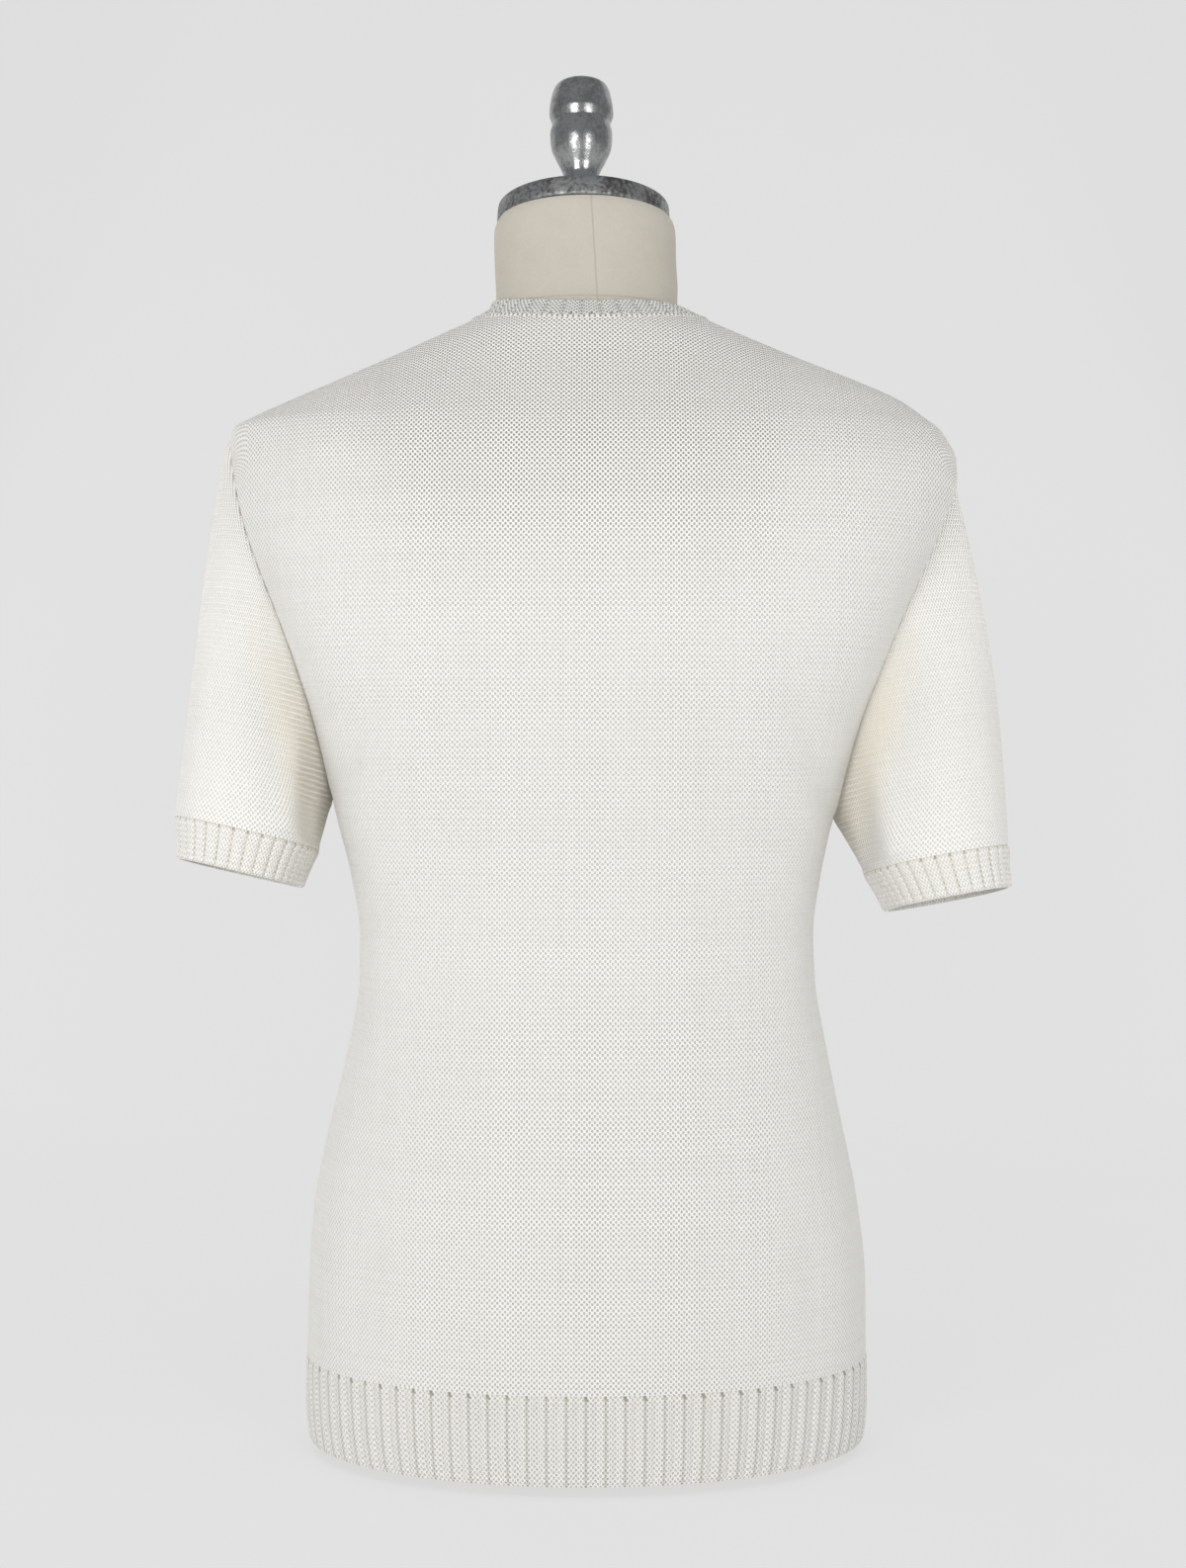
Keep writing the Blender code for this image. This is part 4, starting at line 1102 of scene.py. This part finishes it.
def knit_material(name):
    """Stocking stitch or rib whose pits, painted with shade, form a staggered lattice."""
    light, dark, pits, grooves, hole_row, hole_spacing = KNITS[name]
    knit = Shader(name)
    u, v = knit.uv()
    v_at = knit.linear(knit.noise(knit.place(), WAVER_SCALE), WAVER_COURSES, v)
    up = knit.times(knit.wave(v_at), COURSE_STEEPNESS)
    up = knit.math("MAXIMUM", knit.math("MINIMUM", up, 1.0), -1.0)
    pit = knit.step(*PIT_EDGES, knit.times(knit.wave(u), up))

    side = knit.from_middle(u)
    leg = knit.wave(knit.linear(side, LEG_SLANT, v_at))
    arch = knit.linear(side, 2.0, -1.0)
    arch = knit.math("SUBTRACT", 1.0, knit.times(arch, arch))
    stitch = knit.linear(leg, LEG_HEIGHT, knit.times(arch, ARCH_HEIGHT))
    height = knit.math("SUBTRACT", stitch, knit.times(pit, PIT_DEPTH))

    fibre = knit.noise(knit.place(), FIBRE_SCALE)
    height = knit.linear(fibre, FIBRE_HEIGHT, height)
    # Painted shade in the pits, stronger or fainter by place on the body
    shade = knit.times(pit, painted_pit_shade_strength(knit, pits))
    for variation, amount in (
        (knit.random(knit.math("FLOOR", u)), UNEVEN_WALES),
        (knit.random(knit.math("FLOOR", v)), UNEVEN_COURSES),
        (knit.noise(knit.place(), *CLOUD), UNEVEN_CLOUD),
        (fibre, UNEVEN_FIBRE),
    ):
        shade = knit.linear(knit.math("SUBTRACT", 0.5, variation), amount, shade)
    if hole_row is not None:
        # Painted shade in the ribs' grooves
        groove = knit.step(*GROOVE_EDGES, knit.from_middle(knit.math("DIVIDE", u, RIB_WALES)))
        shade = knit.linear(groove, grooves, shade)
        # Painted shade in the holes beside a seam, which also sink in the bump
        hole = seam_holes(knit, u, v, hole_row, hole_spacing)
        shade = knit.linear(hole, HOLE_SHADE, shade)
        height = knit.linear(hole, -HOLE_DEPTH, height)
    colour = knit.mix(knit.math("MAXIMUM", shade, 0.0, clamp=True), light, dark)
    # Sleeves and cuffs get painted warm shade on their inner side and painted light on their heads
    if name in ("sleeve stitch", "cuff rib"):
        colour = sleeve_painted_light_and_shade(knit, colour)
    return knit.finish(colour, Normal=knit.bump(height, STITCH_HEIGHT), **KNIT_FINISH)


def canvas_material():
    """Plain weave with clouds and flecks, and the dark lines of the neck's upright and level seams."""
    canvas = Shader("natural canvas")
    x, _, z = canvas.axes()
    threads = [canvas.math("SINE", canvas.times(axis, 2 * math.pi / CANVAS_THREAD)) for axis in (z, x)]
    weave = canvas.times(*threads)
    cloud = canvas.noise(canvas.place(), *CANVAS_CLOUD)
    fleck = canvas.noise(canvas.place(), *CANVAS_FLECK)
    shade = canvas.linear(weave, SHADE_OF_WEAVE, canvas.times(cloud, SHADE_OF_CLOUD))
    shade = canvas.linear(fleck, SHADE_OF_FLECK, shade, clamp=True)
    seam_x = canvas.linear(z, -NECK_SEAM_LEAN, NECK_SEAM_X + NECK_SEAM_LEAN * CAP_CENTRE[2])
    upright = canvas.fall(*UPRIGHT_SEAM_LINE, canvas.apart(x, seam_x))
    level = canvas.fall(*LEVEL_SEAM_LINE, canvas.apart(z, NECK_SEAM_LOW))
    shade = canvas.linear(canvas.math("MAXIMUM", upright, level), SHADE_OF_SEAM, shade, clamp=True)
    colour = canvas.mix(shade, CANVAS_LIGHT, CANVAS_DARK)
    normal = canvas.bump(canvas.linear(weave, WEAVE_HEIGHT, fleck), CANVAS_RELIEF)
    return canvas.finish(colour, Normal=normal, **CANVAS_FINISH)


def metal_material(name):
    light, dark, rough, mottle = METALS[name]
    metal = Shader(name)
    cloud = metal.noise(metal.place(), *METAL_CLOUD)
    grain = metal.noise(metal.place(), *METAL_GRAIN)
    spots = metal.step(*METAL_SPOTS, metal.linear(grain, 0.5, metal.times(cloud, 0.5)))
    colour = metal.mix(metal.times(spots, mottle), light, dark)
    normal = metal.bump(metal.linear(grain, GRAIN_HEIGHT, cloud), METAL_RELIEF * mottle)
    roughness = metal.linear(spots, SPOT_ROUGHNESS, rough)
    return metal.finish(colour, roughness, Normal=normal, Metallic=METALNESS)


# --- Stage ---

FLOOR_FRONT = 4.0
BEND_FROM = -1.6
BEND_RADIUS = 0.9
BEND_LINES = 17
WALL_TOP = 4.5
HALF_BREADTH = 5.0
PAPER_SHADES = (0.16, 0.16, 0.16, 1), (0.15, 0.15, 0.15, 1)
PAPER_GRAIN_SCALE = 3.0
PAPER_GLOW = 0.622
WORLD_COLOUR = (0.96, 0.98, 1.0, 1)
WORLD_STRENGTH = 0.37
LIGHTS = (
    # name, place, target, size, watts, whether the camera and shiny things see it
    ("softbox_left", (1.00, 2.10, 0.62), (0.00, 0, 0.40), (0.9, 1.3), 21.5, True),
    ("softbox_right", (-1.05, 2.00, 0.55), (0.00, 0, 0.40), (0.8, 1.3), 14.5, True),
    ("side_left", (2.40, 0.60, 0.80), (0.15, 0, 0.45), (1.6, 1.8), 13.0, False),
    ("side_right", (-2.40, 0.60, 0.80), (-0.15, 0, 0.45), (1.6, 1.8), 10.0, False),
    ("top", (0.00, 0.90, 2.30), (0.00, 0, 0.62), (1.6, 1.2), 7.0, False),
    ("fill_left", (1.60, -2.00, 1.10), (0.00, 0, 0.45), (1.2, 1.4), 11.0, False),
    ("fill_right", (-1.60, -2.00, 1.10), (0.00, 0, 0.45), (1.2, 1.4), 9.0, False),
)


def make_backdrop():
    """A pale floor that curves up into a pale wall."""
    bend = np.linspace(0, np.pi / 2, BEND_LINES)
    y = np.concatenate([[FLOOR_FRONT], BEND_FROM - BEND_RADIUS * np.sin(bend), [BEND_FROM - BEND_RADIUS]])
    z = np.concatenate([[0.0], BEND_RADIUS - BEND_RADIUS * np.cos(bend), [WALL_TOP]])
    points = np.array([(x, b, c) for x in (-HALF_BREADTH, HALF_BREADTH) for b, c in zip(y, z)])
    count = len(y)
    faces = [[k, k + 1, count + k + 1, count + k] for k in range(count - 1)]
    paper = Shader("pale paper")
    colour = paper.mix(paper.noise(paper.place(), PAPER_GRAIN_SCALE), *PAPER_SHADES)
    glow = {"Emission_Color": (1, 1, 1, 1), "Emission_Strength": PAPER_GLOW}
    material = paper.finish(colour, 1.0, Specular_IOR_Level=0.0, **glow)
    mesh = bpy.data.meshes.new("backdrop")
    mesh.from_pydata(points.tolist(), [], faces)
    mesh.shade_smooth()
    mesh.materials.append(material)
    add_object("backdrop", mesh)


def make_light(name, place, target, size, watts, seen):
    light = bpy.data.lights.new(name, "AREA")
    light.shape, light.size, light.size_y = "RECTANGLE", *size
    light.energy = watts
    obj = add_object(name, light)
    obj.location = place
    way = Vector(target) - Vector(place)
    obj.rotation_euler = way.to_track_quat("-Z", "Y").to_euler()
    obj.visible_camera = obj.visible_glossy = seen


def make_camera():
    data = bpy.data.cameras.new("camera")
    data.sensor_fit, data.sensor_height, data.lens = "VERTICAL", SENSOR_HEIGHT, FOCAL_LENGTH
    camera = add_object("camera", data)
    camera.location = CAMERA_PLACE
    camera.rotation_euler = (math.pi / 2, 0, math.pi)
    bpy.context.scene.camera = camera


def make_stage():
    make_backdrop()
    for light in LIGHTS:
        make_light(*light)
    world = bpy.data.worlds.new("soft")
    world.use_nodes = True
    background = world.node_tree.nodes["Background"]
    background.inputs["Color"].default_value = WORLD_COLOUR
    background.inputs["Strength"].default_value = WORLD_STRENGTH
    bpy.context.scene.world = world
    bpy.context.scene.view_settings.view_transform = "Standard"


# --- The whole scene ---


def stand_for(obj, node):
    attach(obj, "root")
    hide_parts(node)


def main():
    knit = {name: knit_material(name) for name in KNITS}
    joints = {side: armhole_joint(side) for side in ARMHOLES}
    for face in SIGN:
        stand_for(make_panel(face, joints, knit["stocking stitch"]), face)
        stand_for(make_hem(face, knit["hem rib"]), "hem_rib_" + face)
    for side in ARMHOLES:
        stand_for(make_sleeve(side, joints[side], knit["sleeve stitch"]), "sleeve_" + side)
        stand_for(make_cuff(side, knit["cuff rib"]), "cuff_" + side)
    stand_for(make_neckband(knit["neck rib"]), "neckband")
    stand_for(tube_object("dress_form", form_rings(), canvas_material()), "form_body")
    cast, polished = (metal_material(name) for name in METALS)
    cap = turned_object("metal_cap", CAP_PROFILE, CAP_FRAME, cast, CAP_STEPS, CAP_SHARP_FROM)
    stand_for(cap, "neck_cap")
    place = CAP_FRAME @ Matrix.Translation(KNOB_OFFSET)
    knob = turned_object("turned_knob", KNOB_PROFILE, place, polished, KNOB_STEPS, KNOB_SHARP_FROM)
    stand_for(knob, "neck_knob")
    make_stage()
    make_camera()


main()
